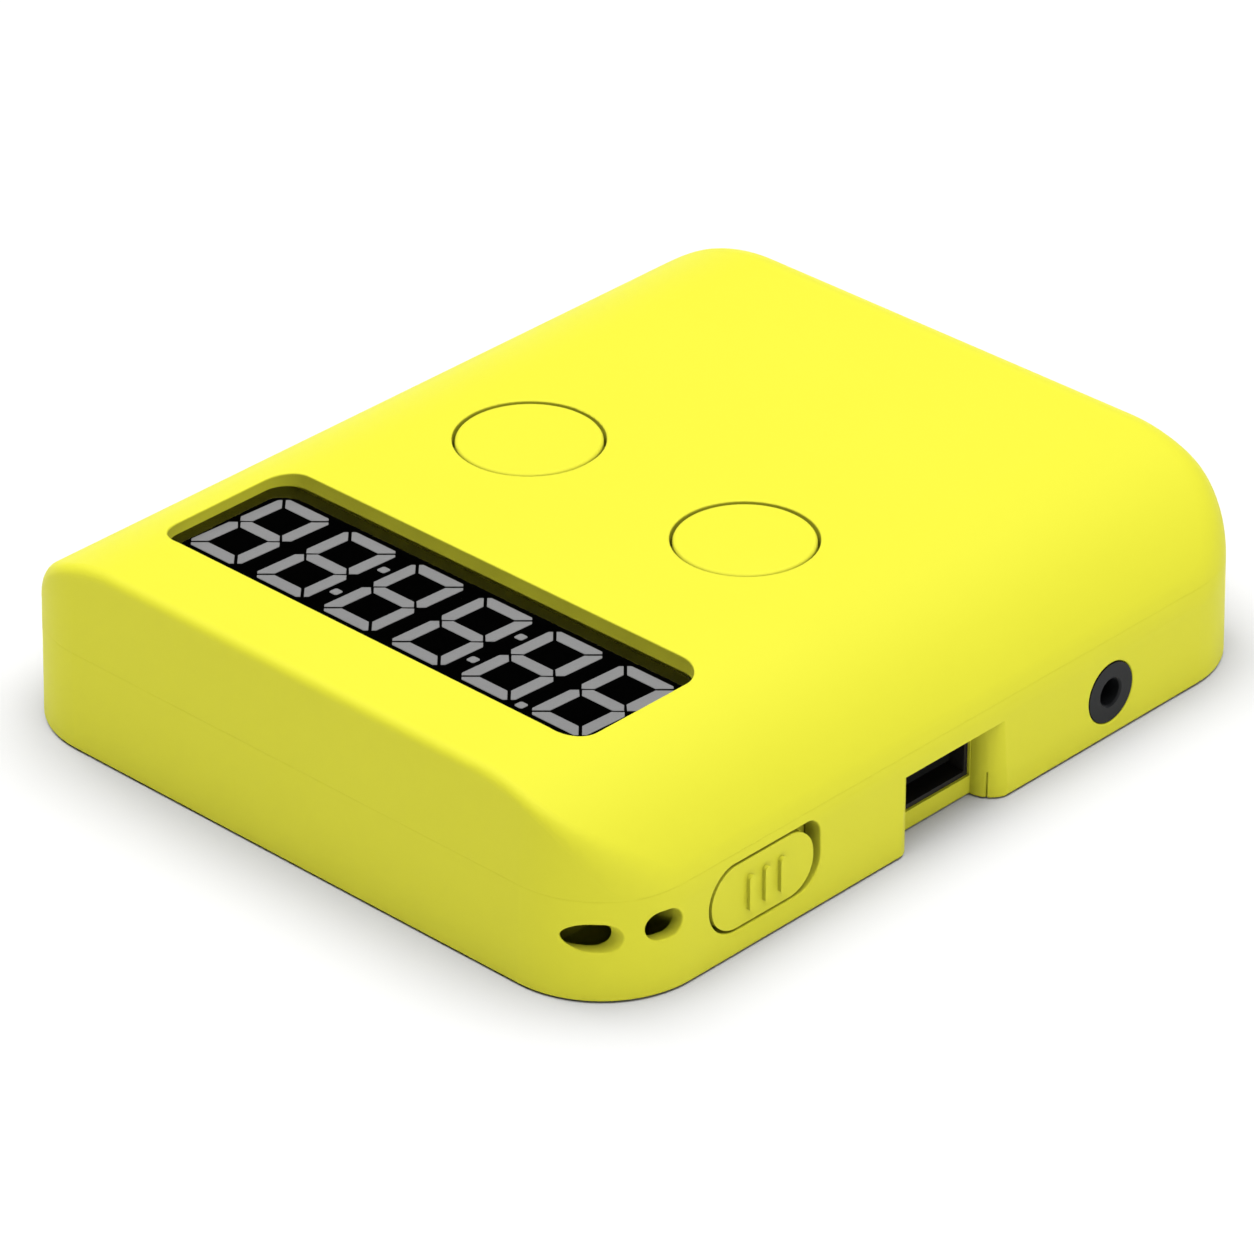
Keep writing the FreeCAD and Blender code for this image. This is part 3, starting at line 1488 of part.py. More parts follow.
crystal_can = rod(
    "CrystalCan",
    S.crystal_radius,
    (S.crystal_side, CRYSTAL_Y, S.board_level - S.crystal_radius),
    S.crystal_length,
    "-x",
)
crystal_leads = [
    box(
        f"CrystalLead{i}",
        (S.crystal_side, CRYSTAL_Y + y - 0.15, S.board_level - S.crystal_radius),
        (S.crystal_side + 1.6, CRYSTAL_Y + y + 0.15, S.board_level - S.crystal_radius + 0.3),
    )
    for i, y in enumerate((-0.4, 0.4))
]
crystal_feet = [
    box(
        f"CrystalFoot{i}",
        (S.crystal_side + 1.3, CRYSTAL_Y + y - 0.15, S.board_level - S.crystal_radius),
        (S.crystal_side + 1.6, CRYSTAL_Y + y + 0.15, S.board_level),
    )
    for i, y in enumerate((-0.4, 0.4))
]
piece("crystal", join("Crystal", crystal_can, *crystal_leads, *crystal_feet))

piece(
    "capacitors",
    group(
        "Capacitors",
        *[
            box(
                f"Capacitor{i}",
                (
                    S.capacitor_side + i * S.capacitor_pitch,
                    CAPACITOR_Y,
                    S.board_level - S.capacitor_height,
                ),
                (
                    S.capacitor_side + i * S.capacitor_pitch + S.capacitor_width,
                    CAPACITOR_Y + S.capacitor_length,
                    S.board_level,
                ),
            )
            for i in range(int(S.capacitor_count.number))
        ],
    ),
)

# ---------------------------------------------------------------- buttons, domes, pills and pads

CAP_TOP = TOP - S.button_sink
FLANGE_TOP = ROOF_INSIDE - S.flange_gap
FLANGE_LOW = FLANGE_TOP - S.flange_thickness
STEM_LOW = BOARD_TOP + S.dome_height + S.dome_stem_gap
CAP_HOLLOW = CAP_TOP - S.button_top_wall


def button(side, x, radius):
    """A moulded button: a dished cap on a flange, with a stem down to its dome."""
    name = side.title()
    stem = S.button_stem_radius
    hollow = radius - S.button_side_wall
    profile = [
        (measure(0), measure(0)),
        (stem, measure(0)),
        (stem, CAP_HOLLOW - STEM_LOW),
        (hollow, CAP_HOLLOW - STEM_LOW),
        (hollow, FLANGE_LOW - STEM_LOW),
        (radius + S.flange_reach, FLANGE_LOW - STEM_LOW),
        (radius + S.flange_reach, FLANGE_TOP - STEM_LOW),
        (radius, FLANGE_TOP - STEM_LOW),
        (radius, CAP_TOP - STEM_LOW),
        (measure(0), CAP_TOP - STEM_LOW),
    ]
    body = place(turned(name + "Button", profile), x, BUTTON_Y, STEM_LOW)
    rim = round_edges(name + "ButtonRim", body, S.button_edge, level_at(CAP_TOP.number))
    dish = radius - S.button_edge
    ball_radius = (dish * dish + S.button_dish * S.button_dish) / (2 * S.button_dish)
    ball = doc.addObject("Part::Sphere", name + "Dish")
    bind(ball, Radius=ball_radius)
    place(ball, x, BUTTON_Y, CAP_TOP - S.button_dish + ball_radius)
    return cut(name + "ButtonDished", rim, ball)


def dome(side, x):
    """A silicone dome that returns the button."""
    name = side.title() + "Dome"
    profile = [
        (S.dome_bore_foot, measure(0)),
        (S.dome_base_radius, measure(0)),
        (S.dome_base_radius, S.dome_base_height),
        (S.dome_skirt_radius, S.dome_base_height),
        (S.dome_tip_radius, S.dome_cone_top),
        (S.dome_tip_radius, S.dome_height),
        (measure(0), S.dome_height),
        (measure(0), S.dome_bore_height),
        (S.dome_bore_tip, S.dome_bore_height),
    ]
    return place(turned(name, profile), x, BUTTON_Y, BOARD_TOP)


for side, (x, radius) in BUTTONS.items():
    piece(f"{side}_button", button(side, x, radius))
    piece(f"{side}_button_dome", dome(side, x))
    piece(
        f"{side}_contact_pill",
        rod(
            f"{side.title()}Pill",
            S.pill_radius,
            (x, BUTTON_Y, BOARD_TOP + S.dome_bore_height - S.pill_thickness),
            S.pill_thickness,
        ),
    )
piece(
    "contact_pads",
    group(
        "ContactPads",
        *[
            rod(f"{side.title()}Pad", S.pad_radius, (x, BUTTON_Y, BOARD_TOP), S.pad_thickness)
            for side, (x, _) in BUTTONS.items()
        ],
    ),
)

# ---------------------------------------------------------------- power slide

KNOB_Y0 = SLOT_Y0 + S.knob_front_gap
KNOB_Y1 = SLOT_Y1 - S.knob_back_gap - S.slide_travel
KNOB_CORNER = (S.slot_height / 2 - S.knob_gap) * 0.95
KNOB_MIDDLE = (KNOB_Y0 + KNOB_Y1) / 2
KNOB_FACE = HALF_WIDTH - S.knob_sink
PLATE_FACE = wall_inside(S.knob_plate_high) - S.knob_plate_gap
PLATE_BACK = PLATE_FACE - S.knob_plate
LEVER_Y = KNOB_MIDDLE
SWITCH_FACE = PLATE_BACK - S.switch_stand_off
SWITCH_Y = LEVER_Y + S.slide_travel / 2

knob_body = slot_solid(
    "KnobBody",
    KNOB_Y0,
    KNOB_Y1,
    SLOT_LOW + S.knob_gap,
    SLOT_HIGH - S.knob_gap,
    PLATE_FACE - S.knob_plate / 2,
    KNOB_FACE,
    KNOB_CORNER,
    KNOB_CORNER,
)
knob_plate = box(
    "KnobPlate",
    (PLATE_BACK, SLOT_Y0 - S.knob_plate_cover, S.knob_plate_low),
    (PLATE_FACE, SLOT_Y1 + S.knob_plate_cover, S.knob_plate_high),
)
knob_ribs = []
for i in (-1, 0, 1):
    rib_y = KNOB_MIDDLE + S.knob_rib_shift + i * S.knob_rib_pitch
    low_end = S.slot_level - S.knob_rib_drop - S.knob_rib_height / 2
    half = S.knob_rib_width / 2
    face, proud = KNOB_FACE - 0.2, KNOB_FACE + S.knob_rib_proud
    knob_ribs += [
        box(
            f"KnobRib{i + 1}",
            (face, rib_y - half, low_end + half),
            (proud, rib_y + half, low_end + S.knob_rib_height - half),
        ),
        rod(f"KnobRibLow{i + 1}", half, (face, rib_y, low_end + half), proud - face, "x"),
        rod(
            f"KnobRibHigh{i + 1}",
            half,
            (face, rib_y, low_end + S.knob_rib_height - half),
            proud - face,
            "x",
        ),
    ]
fork_inside = S.lever_width / 2 + S.lever_gap
fork = [
    box(
        f"Fork{at}",
        (PLATE_BACK - S.fork_reach, y0, S.lever_level - S.lever_height),
        (PLATE_BACK + 0.2, y0 + S.fork_prong, S.lever_level + S.lever_height),
    )
    for at, y0 in (
        ("Front", LEVER_Y - fork_inside - S.fork_prong),
        ("Back", LEVER_Y + fork_inside),
    )
]
piece("slide_knob", join("SlideKnob", knob_body, knob_plate, *knob_ribs, *fork))

lever_room = S.lever_width / 2 + S.slide_travel / 2 + S.lever_gap * 2
switch_block = box(
    "SwitchBlock",
    (
        SWITCH_FACE - S.switch_depth,
        SWITCH_Y - S.switch_length / 2,
        S.side_board_level - S.switch_height,
    ),
    (SWITCH_FACE, SWITCH_Y + S.switch_length / 2, S.side_board_level),
)
switch_pocket = box(
    "SwitchPocket",
    (
        SWITCH_FACE - S.switch_slot_depth,
        SWITCH_Y - lever_room,
        S.lever_level - S.lever_height / 2 - S.lever_gap,
    ),
    (
        SWITCH_FACE + 1.0,
        SWITCH_Y + lever_room,
        S.lever_level + S.lever_height / 2 + S.lever_gap,
    ),
)
piece("switch_body", cut("SwitchBody", switch_block, switch_pocket))
piece(
    "switch_lever",
    box(
        "SwitchLever",
        (
            SWITCH_FACE - S.switch_slot_depth + 0.2,
            LEVER_Y - S.lever_width / 2,
            S.lever_level - S.lever_height / 2,
        ),
        (
            PLATE_BACK - 0.1,
            LEVER_Y + S.lever_width / 2,
            S.lever_level + S.lever_height / 2,
        ),
    ),
)

# ---------------------------------------------------------------- side board and its connector

side_plate = box(
    "SidePlate",
    (SIDE_BOARD_INNER, FRONT + S.side_board_front, S.side_board_level),
    (
        SIDE_BOARD_OUTER,
        BACK - S.side_board_back,
        S.side_board_level + S.side_board_thickness,
    ),
)
side_holes = [
    rod(
        f"SideHole{at}",
        S.board_screw_radius + S.board_hole_clearance,
        (x, y, S.side_board_level - 1.0),
        S.side_board_thickness + 2.0,
    )
    for at, (x, y) in SIDE_SCREWS.items()
]
piece("side_board", cut("SideBoard", side_plate, *side_holes))
piece(
    "side_board_screws",
    group(
        "SideBoardScrews",
        *[
            screw(
                f"SideScrew{at}",
                x,
                y,
                S.side_board_level + S.side_board_thickness,
                S.board_screw_head_radius,
                S.board_screw_head_height,
                S.board_screw_radius,
                S.board_screw_length,
                False,
            )
            for at, (x, y) in SIDE_SCREWS.items()
        ],
    ),
)
LINK_X = BOARD_HALF - S.link_side
LINK_FRONT = BOARD_SCREWS["FrontRight"][1] + S.link_front
LINK_BACK = BOARD_SCREWS["BackRight"][1] - S.link_back
piece(
    "board_link",
    box(
        "BoardLink",
        (
            LINK_X - S.link_width / 2,
            LINK_FRONT,
            S.side_board_level + S.side_board_thickness,
        ),
        (LINK_X + S.link_width / 2, LINK_BACK, S.board_level),
    ),
)

# ---------------------------------------------------------------- USB socket

USB_FACE = RECESS_BACK - S.usb_set_back
USB_BACK = USB_FACE - S.usb_length
usb_outer = box(
    "UsbOuter",
    (USB_BACK, USB_Y - S.usb_width / 2, S.usb_level - S.usb_height / 2),
    (USB_FACE, USB_Y + S.usb_width / 2, S.usb_level + S.usb_height / 2),
)
usb_inner = box(
    "UsbInner",
    (
        USB_BACK - 1.0,
        USB_Y - S.usb_width / 2 + S.usb_metal,
        S.usb_level - S.usb_height / 2 + S.usb_metal,
    ),
    (
        USB_FACE + 1.0,
        USB_Y + S.usb_width / 2 - S.usb_metal,
        S.usb_level + S.usb_height / 2 - S.usb_metal,
    ),
)
piece("usb_shell", cut("UsbShell", usb_outer, usb_inner))
tongue_block = box(
    "TongueBlock",
    (
        USB_BACK,
        USB_Y - S.usb_width / 2 + S.usb_metal,
        S.usb_level - S.usb_height / 2 + S.usb_metal,
    ),
    (
        USB_BACK + S.usb_block,
        USB_Y + S.usb_width / 2 - S.usb_metal,
        S.usb_level + S.usb_height / 2 - S.usb_metal,
    ),
)
tongue = box(
    "Tongue",
    (
        USB_BACK + S.usb_block - 0.2,
        USB_Y - S.tongue_width / 2,
        S.usb_level - S.tongue_thickness / 2,
    ),
    (
        USB_BACK + S.usb_block + S.tongue_reach,
        USB_Y + S.tongue_width / 2,
        S.usb_level + S.tongue_thickness / 2,
    ),
)
piece("usb_tongue", join("UsbTongue", tongue_block, tongue))
contacts = int(S.usb_contact_count.number)
piece(
    "usb_contacts",
    group(
        "UsbContacts",
        *[
            box(
                f"UsbContact{i}",
                (
                    USB_BACK + S.usb_block,
                    USB_Y + (i - (contacts - 1) / 2) * S.usb_contact_pitch - S.usb_contact_width / 2,
                    S.usb_level + S.tongue_thickness / 2,
                ),
                (
                    USB_BACK + S.usb_block + S.tongue_reach - 0.4,
                    USB_Y + (i - (contacts - 1) / 2) * S.usb_contact_pitch + S.usb_contact_width / 2,
                    S.usb_level + S.tongue_thickness / 2 + S.usb_contact_thickness,
                ),
            )
            for i in range(contacts)
        ],
    ),
)

# ---------------------------------------------------------------- data jack

JACK_FACE = HALF_WIDTH - S.jack_nose_sink
JACK_BODY_FACE = wall_inside(S.side_board_level) - S.jack_wall_gap
JACK_BODY_BACK = JACK_BODY_FACE - S.jack_body_length
JACK_BORE_END = JACK_FACE - S.jack_bore_depth
jack_block = box(
    "JackBlock",
    (JACK_BODY_BACK, JACK_Y - S.jack_body_width / 2, S.jack_body_low),
    (JACK_BODY_FACE, JACK_Y + S.jack_body_width / 2, S.side_board_level),
)
jack_nose = rod(
    "JackNose",
    S.jack_nose_radius,
    (JACK_BODY_FACE, JACK_Y, S.jack_level),
    JACK_FACE - JACK_BODY_FACE,
    "x",
)
jack_bore = rod(
    "JackBore",
    S.jack_bore_radius,
    (JACK_BORE_END, JACK_Y, S.jack_level),
    S.jack_bore_depth + 1.0,
    "x",
)
jack_lead_in = cone(
    "JackLeadIn",
    S.jack_bore_radius,
    S.jack_bore_radius + S.jack_mouth * 2,
    (JACK_FACE - S.jack_mouth, JACK_Y, S.jack_level),
    S.jack_mouth * 2,
    "x",
)
SPRING_ROOM = S.jack_spring_width / 2 + 0.1
spring_windows = [
    box(
        f"SpringWindow{at}",
        (x - S.jack_spring_width, y0, S.jack_level - SPRING_ROOM),
        (x + S.jack_spring_width, y1, S.side_board_level + 1.0),
    )
    for at, x, y0, y1 in (
        (
            "Tip",
            JACK_BORE_END + 2.5,
            JACK_Y + S.jack_bore_radius - 0.5,
            JACK_Y + S.jack_body_width / 2 + 1.0,
        ),
        (
            "Ring",
            JACK_BORE_END + 5.5,
            JACK_Y - S.jack_body_width / 2 - 1.0,
            JACK_Y - S.jack_bore_radius + 0.5,
        ),
    )
]
piece(
    "data_jack_body",
    cut(
        "DataJackBody",
        join("JackSolid", jack_block, jack_nose),
        jack_bore,
        jack_lead_in,
        *spring_windows,
    ),
)
piece(
    "data_jack_springs",
    group(
        "DataJackSprings",
        *[
            box(
                f"JackSpring{at}",
                (x - S.jack_spring_width + 0.1, y0, S.jack_level - S.jack_spring_width / 2),
                (x + S.jack_spring_width - 0.1, y0 + S.jack_spring_thickness, S.side_board_level),
            )
            for at, x, y0 in (
                ("Tip", JACK_BORE_END + 2.5, JACK_Y + S.jack_bore_radius + 0.05),
                (
                    "Ring",
                    JACK_BORE_END + 5.5,
                    JACK_Y - S.jack_bore_radius - 0.05 - S.jack_spring_thickness,
                ),
            )
        ],
    ),
)

# ---------------------------------------------------------------- batteries and their contacts


def cell(name, y, nub_x, axis):
    """An AAA cell lying along X. nub_x is its positive end, and axis points from there to the other."""
    can = S.battery_length - S.nub_height
    inner = S.battery_radius - S.battery_edge
    profile = [
        (measure(0), measure(0)),
        (S.nub_radius, measure(0)),
        (S.nub_radius, S.nub_height),
        (inner, S.nub_height),
        (S.battery_radius, S.nub_height + S.battery_edge),
        (S.battery_radius, S.nub_height + can - S.battery_edge),
        (inner, S.nub_height + can),
        (measure(0), S.nub_height + can),
    ]
    return place(turned(name, profile), nub_x, y, CELL_LEVEL, axis)


PLATE_FACE_LEFT = PLATE_LEFT + S.plate_thickness
PLATE_FACE_RIGHT = PLATE_RIGHT - S.plate_thickness
piece("front_battery", cell("FrontCell", FRONT_CELL_Y, PLATE_FACE_RIGHT, "-x"))
piece("back_battery", cell("BackCell", BACK_CELL_Y, PLATE_FACE_LEFT, "x"))

PLATE_LOW = CELL_LEVEL - S.plate_height / 2
PLATE_HIGH = CELL_LEVEL + S.plate_height / 2
bridge_plate = box(
    "BridgePlate",
    (PLATE_LEFT, FRONT_CELL_Y - S.plate_width / 2, PLATE_LOW),
    (PLATE_FACE_LEFT, BACK_CELL_Y + S.plate_width / 2, PLATE_HIGH),
)
end_plates = []
for at, y in (("Front", FRONT_CELL_Y), ("Back", BACK_CELL_Y)):
    leaf = box(
        f"{at}Leaf",
        (PLATE_FACE_RIGHT, y - S.plate_width / 2, PLATE_LOW),
        (PLATE_RIGHT, y + S.plate_width / 2, PLATE_HIGH),
    )
    tab = box(
        f"{at}Tab",
        (PLATE_FACE_RIGHT, y - S.tab_width / 2, PLATE_HIGH - 0.5),
        (PLATE_RIGHT, y + S.tab_width / 2, TAB_TOP),
    )
    end_plates.append(join(f"{at}Plate", leaf, tab))
piece("battery_plates", group("BatteryPlates", bridge_plate, *end_plates))

SPRING_CORNERS = 8


def cone_spring(name, y, foot_x, axis):
    """A conical contact spring, wide at its plate and narrow at the cell."""
    wire = S.spring_wire.number
    rise = S.spring_length.number - 2 * wire
    corners = int(S.spring_turns.number * SPRING_CORNERS)
    points = []
    for i in range(corners + 1):
        share = i / corners
        radius = S.spring_radius.number
        radius += (S.spring_tip_radius - S.spring_radius).number * share
        turn = 2 * math.pi * i / SPRING_CORNERS
        climb = rise * share
        points.append(Vector(radius * math.cos(turn), radius * math.sin(turn), climb))
    spring = doc.addObject("Part::Feature", name)
    spring.Shape = tube(points, wire)
    sign = 1 if axis == "x" else -1
    return place(spring, foot_x + sign * (S.spring_gap + S.spring_wire), y, CELL_LEVEL, axis)


piece(
    "battery_springs",
    group(
        "BatterySprings",
        cone_spring("FrontSpring", FRONT_CELL_Y, PLATE_FACE_LEFT, "x"),
        cone_spring("BackSpring", BACK_CELL_Y, PLATE_FACE_RIGHT, "-x"),
    ),
)


def battery_wire(name, tab_y, lane_x):
    """A wire from a plate's tab, over the bay's roof, down to the main board's back edge."""
    over_roof = BAY_ROOF + S.wire_clear
    tab_x = PLATE_FACE_RIGHT - S.wire_radius - S.wire_tab_gap
    edge_y = BAY_Y - BAY_HALF_Y - S.bay_wall
    landing_y = BOARD_BACK - S.wire_landing
    points = [
        (tab_x, tab_y, over_roof),
        ((tab_x + 2 * lane_x) / 3, tab_y - S.wire_turn, over_roof + S.wire_rise / 2),
        (lane_x, edge_y + S.wire_edge, over_roof + S.wire_rise),
        (lane_x, BOARD_BACK - S.wire_landing / 2, over_roof + S.wire_rise / 2),
        (lane_x, landing_y, over_roof - S.wire_dip),
        (lane_x, landing_y, BOARD_TOP),
    ]
    run = doc.addObject("Part::Feature", name)
    run.Shape = tube(
        [Vector(x.number, y.number, z.number) for x, y, z in points], S.wire_radius.number
    )
    return run


RED_LANE = PLATE_FACE_RIGHT - S.red_lane
BLACK_LANE = PLATE_FACE_RIGHT - S.black_lane
piece("red_battery_wire", battery_wire("RedWire", FRONT_CELL_Y, RED_LANE))
piece("black_battery_wire", battery_wire("BlackWire", BACK_CELL_Y, BLACK_LANE))

# ---------------------------------------------------------------- case screws and feet

piece(
    "case_screws",
    group(
        "CaseScrews",
        *[
            screw(
                f"CaseScrew{at}",
                x,
                y,
                HEAD_SEAT,
                S.case_screw_head_radius,
                S.case_screw_head_height,
                S.case_screw_radius,
                S.case_screw_length,
                True,
            )
            for at, (x, y) in CASE_SCREWS.items()
        ],
    ),
)
piece(
    "rubber_feet",
    group(
        "RubberFeet",
        *[
            rod(f"Foot{at}", S.foot_radius, (x, y, 0), BASE + S.foot_seat)
            for at, (x, y) in FEET.items()
        ],
    ),
)

# ---------------------------------------------------------------- check and write

doc.recompute()
failed = [thing.Name for thing in doc.Objects if "Invalid" in thing.State or "Error" in thing.State]
if failed:
    raise RuntimeError(f"these objects failed: {failed}")
for node, thing in pieces.items():
    if thing.Shape.isNull() or not thing.Shape.isValid() or not thing.Shape.Solids:
        raise RuntimeError(f"{node} has no valid solid")

os.makedirs("parts", exist_ok=True)
for node, thing in pieces.items():
    thing.Shape.exportStep(f"parts/{node}.step")
print(len(pieces), "nodes written")
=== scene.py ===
from math import pi, radians

import bmesh
import bpy
from mathutils import Matrix, Vector


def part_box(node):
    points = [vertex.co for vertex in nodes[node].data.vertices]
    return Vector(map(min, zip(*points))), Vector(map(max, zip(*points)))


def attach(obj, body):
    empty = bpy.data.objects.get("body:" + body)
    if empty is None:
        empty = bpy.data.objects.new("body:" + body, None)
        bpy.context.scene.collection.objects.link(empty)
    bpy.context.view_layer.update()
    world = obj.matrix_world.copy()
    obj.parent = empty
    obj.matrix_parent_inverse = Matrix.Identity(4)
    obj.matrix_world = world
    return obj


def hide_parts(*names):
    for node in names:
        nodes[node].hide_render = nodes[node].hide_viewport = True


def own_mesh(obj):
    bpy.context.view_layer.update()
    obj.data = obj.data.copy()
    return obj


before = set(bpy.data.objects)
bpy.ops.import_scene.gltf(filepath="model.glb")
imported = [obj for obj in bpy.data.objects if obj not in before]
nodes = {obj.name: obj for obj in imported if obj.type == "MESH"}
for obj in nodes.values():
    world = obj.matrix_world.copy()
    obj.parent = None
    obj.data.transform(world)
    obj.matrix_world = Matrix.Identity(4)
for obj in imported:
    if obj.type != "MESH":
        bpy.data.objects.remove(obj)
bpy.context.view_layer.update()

# ------------------------------------------------------------------ camera
# A long lens three quarters from the right and a little above, as small goods are shown. The whole
# case fits the frame, so the lens has no shift.

MM = 0.001
LENS_LENGTH = 197.3
SENSOR_WIDTH = 36.0
CAMERA_PLACE = (363.7, -384.6, 317.1)
CAMERA_RISE = 30.52
CAMERA_TURN = 43.51

lens = bpy.data.cameras.new("camera")
lens.lens = LENS_LENGTH
lens.sensor_width = SENSOR_WIDTH
camera = bpy.data.objects.new("camera", lens)
camera.location = Vector(CAMERA_PLACE) * MM
camera.rotation_euler = (radians(90 - CAMERA_RISE), 0.0, radians(CAMERA_TURN))
bpy.context.collection.objects.link(camera)
bpy.context.scene.camera = camera
bpy.context.scene.view_settings.view_transform = "Standard"

# ------------------------------------------------------------------ table
# A sheet of matt white card that runs out of sight. It lights the case a little less than it shows,
# because a real sheet isn't lit right up to its far edges.

TABLE_HALF = 4.0
TABLE_SHOWN = (0.995, 0.995, 0.990, 1.0)
TABLE_BOUNCE = (0.96, 0.96, 0.96, 1.0)
CARD_ROUGHNESS = 0.9


def connect(tree, socket, value):
    """Links a socket to another node's output, or sets it to a plain value."""
    if isinstance(value, bpy.types.NodeSocket):
        tree.links.new(value, socket)
    else:
        socket.default_value = value


def shader(tree, kind, **sockets):
    """A new shader node with its named sockets set or linked."""
    node = tree.nodes.new("ShaderNode" + kind)
    for name, value in sockets.items():
        connect(tree, node.inputs[name.replace("_", " ")], value)
    return node


def sums(tree, operation, *values):
    """The output of a Math node."""
    node = tree.nodes.new("ShaderNodeMath")
    node.operation = operation
    for socket, value in zip(node.inputs, values):
        connect(tree, socket, value)
    return node.outputs["Value"]


def blended(tree, share, first, second, way="MIX"):
    """The output of a Mix node for colours."""
    node = tree.nodes.new("ShaderNodeMix")
    node.data_type = "RGBA"
    node.blend_type = way
    for name, value in (("Factor", share), ("A", first), ("B", second)):
        connect(tree, node.inputs[name], value)
    return node.outputs["Result"]


table_sheet = bmesh.new()
bmesh.ops.create_grid(table_sheet, x_segments=1, y_segments=1, size=TABLE_HALF)
table_mesh = bpy.data.meshes.new("table")
table_sheet.to_mesh(table_mesh)
table_sheet.free()
table = bpy.data.objects.new("table", table_mesh)
bpy.context.collection.objects.link(table)
card = bpy.data.materials.new("white_card")
card.use_nodes = True
tree = card.node_tree
card_surface = tree.nodes["Principled BSDF"]
card_surface.inputs["Roughness"].default_value = CARD_ROUGHNESS
card_surface.inputs["Specular IOR Level"].default_value = 0.0
bounced = shader(tree, "LightPath").outputs["Is Diffuse Ray"]
card_colour = blended(tree, bounced, TABLE_SHOWN, TABLE_BOUNCE)
connect(tree, card_surface.inputs["Base Color"], card_colour)
table_mesh.materials.append(card)

# ------------------------------------------------------------------ lamps and room
# A large round soft box overhead and two small ones, low on the right and high on the left, in a
# room with white lower walls. The camera and polished surfaces see the walls, which light nothing.

LAMPS = (
    ("overhead", (0.0, 0.0, 1.5), 2.2, 33.0),
    ("right_fill", (1.5, 0.0, 0.4), 0.8, 2.8),
    ("left_fill", (-1.2, 0.0, 1.2), 1.0, 4.2),
)
WALL_LOW = 0.2
WALL_HIGH = 0.4
BLACK = (0.0, 0.0, 0.0, 1.0)
WHITE = (1.0, 1.0, 1.0, 1.0)

for name, spot, width, watts in LAMPS:
    soft_box = bpy.data.lights.new(name, "AREA")
    soft_box.shape = "DISK"
    soft_box.size = width
    soft_box.energy = watts
    lamp = bpy.data.objects.new(name, soft_box)
    lamp.location = spot
    lamp.rotation_euler = (-Vector(spot)).to_track_quat("-Z", "Y").to_euler()
    lamp.visible_camera = False
    bpy.context.collection.objects.link(lamp)

room = bpy.data.worlds.new("room")
bpy.context.scene.world = room
room.use_nodes = True
tree = room.node_tree
tree.nodes.clear()
rays = shader(tree, "LightPath").outputs
direction = shader(tree, "TexCoord").outputs["Generated"]
upward = shader(tree, "SeparateXYZ", Vector=direction).outputs["Z"]
low_wall = shader(
    tree, "MapRange", Value=upward, From_Min=WALL_LOW, From_Max=WALL_HIGH, To_Min=1.0, To_Max=0.0
)
mirrored = sums(tree, "MULTIPLY", rays["Is Glossy Ray"], low_wall.outputs["Result"])
seen = sums(tree, "MAXIMUM", rays["Is Camera Ray"], rays["Is Transmission Ray"])
dark_room = shader(tree, "Background", Color=BLACK, Strength=0.0)
white_wall = shader(tree, "Background", Color=WHITE, Strength=1.0)
either = shader(tree, "MixShader", Fac=sums(tree, "MAXIMUM", seen, mirrored))
connect(tree, either.inputs[1], dark_room.outputs["Background"])
connect(tree, either.inputs[2], white_wall.outputs["Background"])
shader(tree, "OutputWorld", Surface=either.outputs["Shader"])

# ------------------------------------------------------------------ case
# Two shells injection moulded in lemon yellow ABS, satin from a finely spark-eroded mould. They lap
# on a lip, and four screws from below hold them together.

CASE_YELLOW = ((0.92, 0.895, 0.054), (0.94, 0.915, 0.058))
# Painted shade: diffuse bounces see the case at this share of its colour. This darkens its
# recesses, its button and slot gaps, and its yellow cast on the table.
CASE_BOUNCE = 0.15
CLOUD_SCALE = 60.0
CLOUD_DETAIL = 3.0
SPECK_DETAIL = 2.0
GLOSS_SPREAD = 0.06


def finish(
    name, tones, gloss, grain=0.3, relief=3.0, metal=0.0, sheen=0.5, drawn=(1, 1, 1), bounce_shade=None
):
    """A material of two close tones in broad clouds, with a fine grain in its gloss and its relief.

    gloss is the mean roughness, grain the size of a speck in millimetres and relief its height in
    micrometres. drawn stretches the grain. The last argument, when given, darkens the colour that
    diffuse bounces see: painted shade in the recesses and gaps this surface lights, and a weaker
    cast from it on the table.
    """
    material = bpy.data.materials.new(name)
    material.use_nodes = True
    tree = material.node_tree
    surface = tree.nodes["Principled BSDF"]
    surface.inputs["Metallic"].default_value = metal
    surface.inputs["Specular IOR Level"].default_value = sheen
    place = shader(tree, "TexCoord").outputs["Object"]
    clouds = shader(tree, "TexNoise", Vector=place, Scale=CLOUD_SCALE, Detail=CLOUD_DETAIL)
    along = shader(tree, "Mapping", Vector=place, Scale=drawn).outputs["Vector"]
    specks = shader(tree, "TexNoise", Vector=along, Scale=1 / (grain * MM), Detail=SPECK_DETAIL)
    colour = blended(tree, clouds.outputs["Fac"], (*tones[0], 1.0), (*tones[1], 1.0))
    # Painted shade: diffuse bounces see a darker colour than the camera does.
    if bounce_shade:
        bounced = shader(tree, "LightPath").outputs["Is Diffuse Ray"]
        colour = blended(tree, bounced, colour, (bounce_shade, bounce_shade, bounce_shade, 1.0), "MULTIPLY")
    connect(tree, surface.inputs["Base Color"], colour)
    height = specks.outputs["Fac"]
    rough = shader(
        tree, "MapRange", Value=height, To_Min=gloss - GLOSS_SPREAD, To_Max=gloss + GLOSS_SPREAD
    )
    connect(tree, surface.inputs["Roughness"], rough.outputs["Result"])
    skin = shader(tree, "Bump", Height=height, Distance=relief * MM * MM, Strength=1.0)
    connect(tree, surface.inputs["Normal"], skin.outputs["Normal"])
    return material


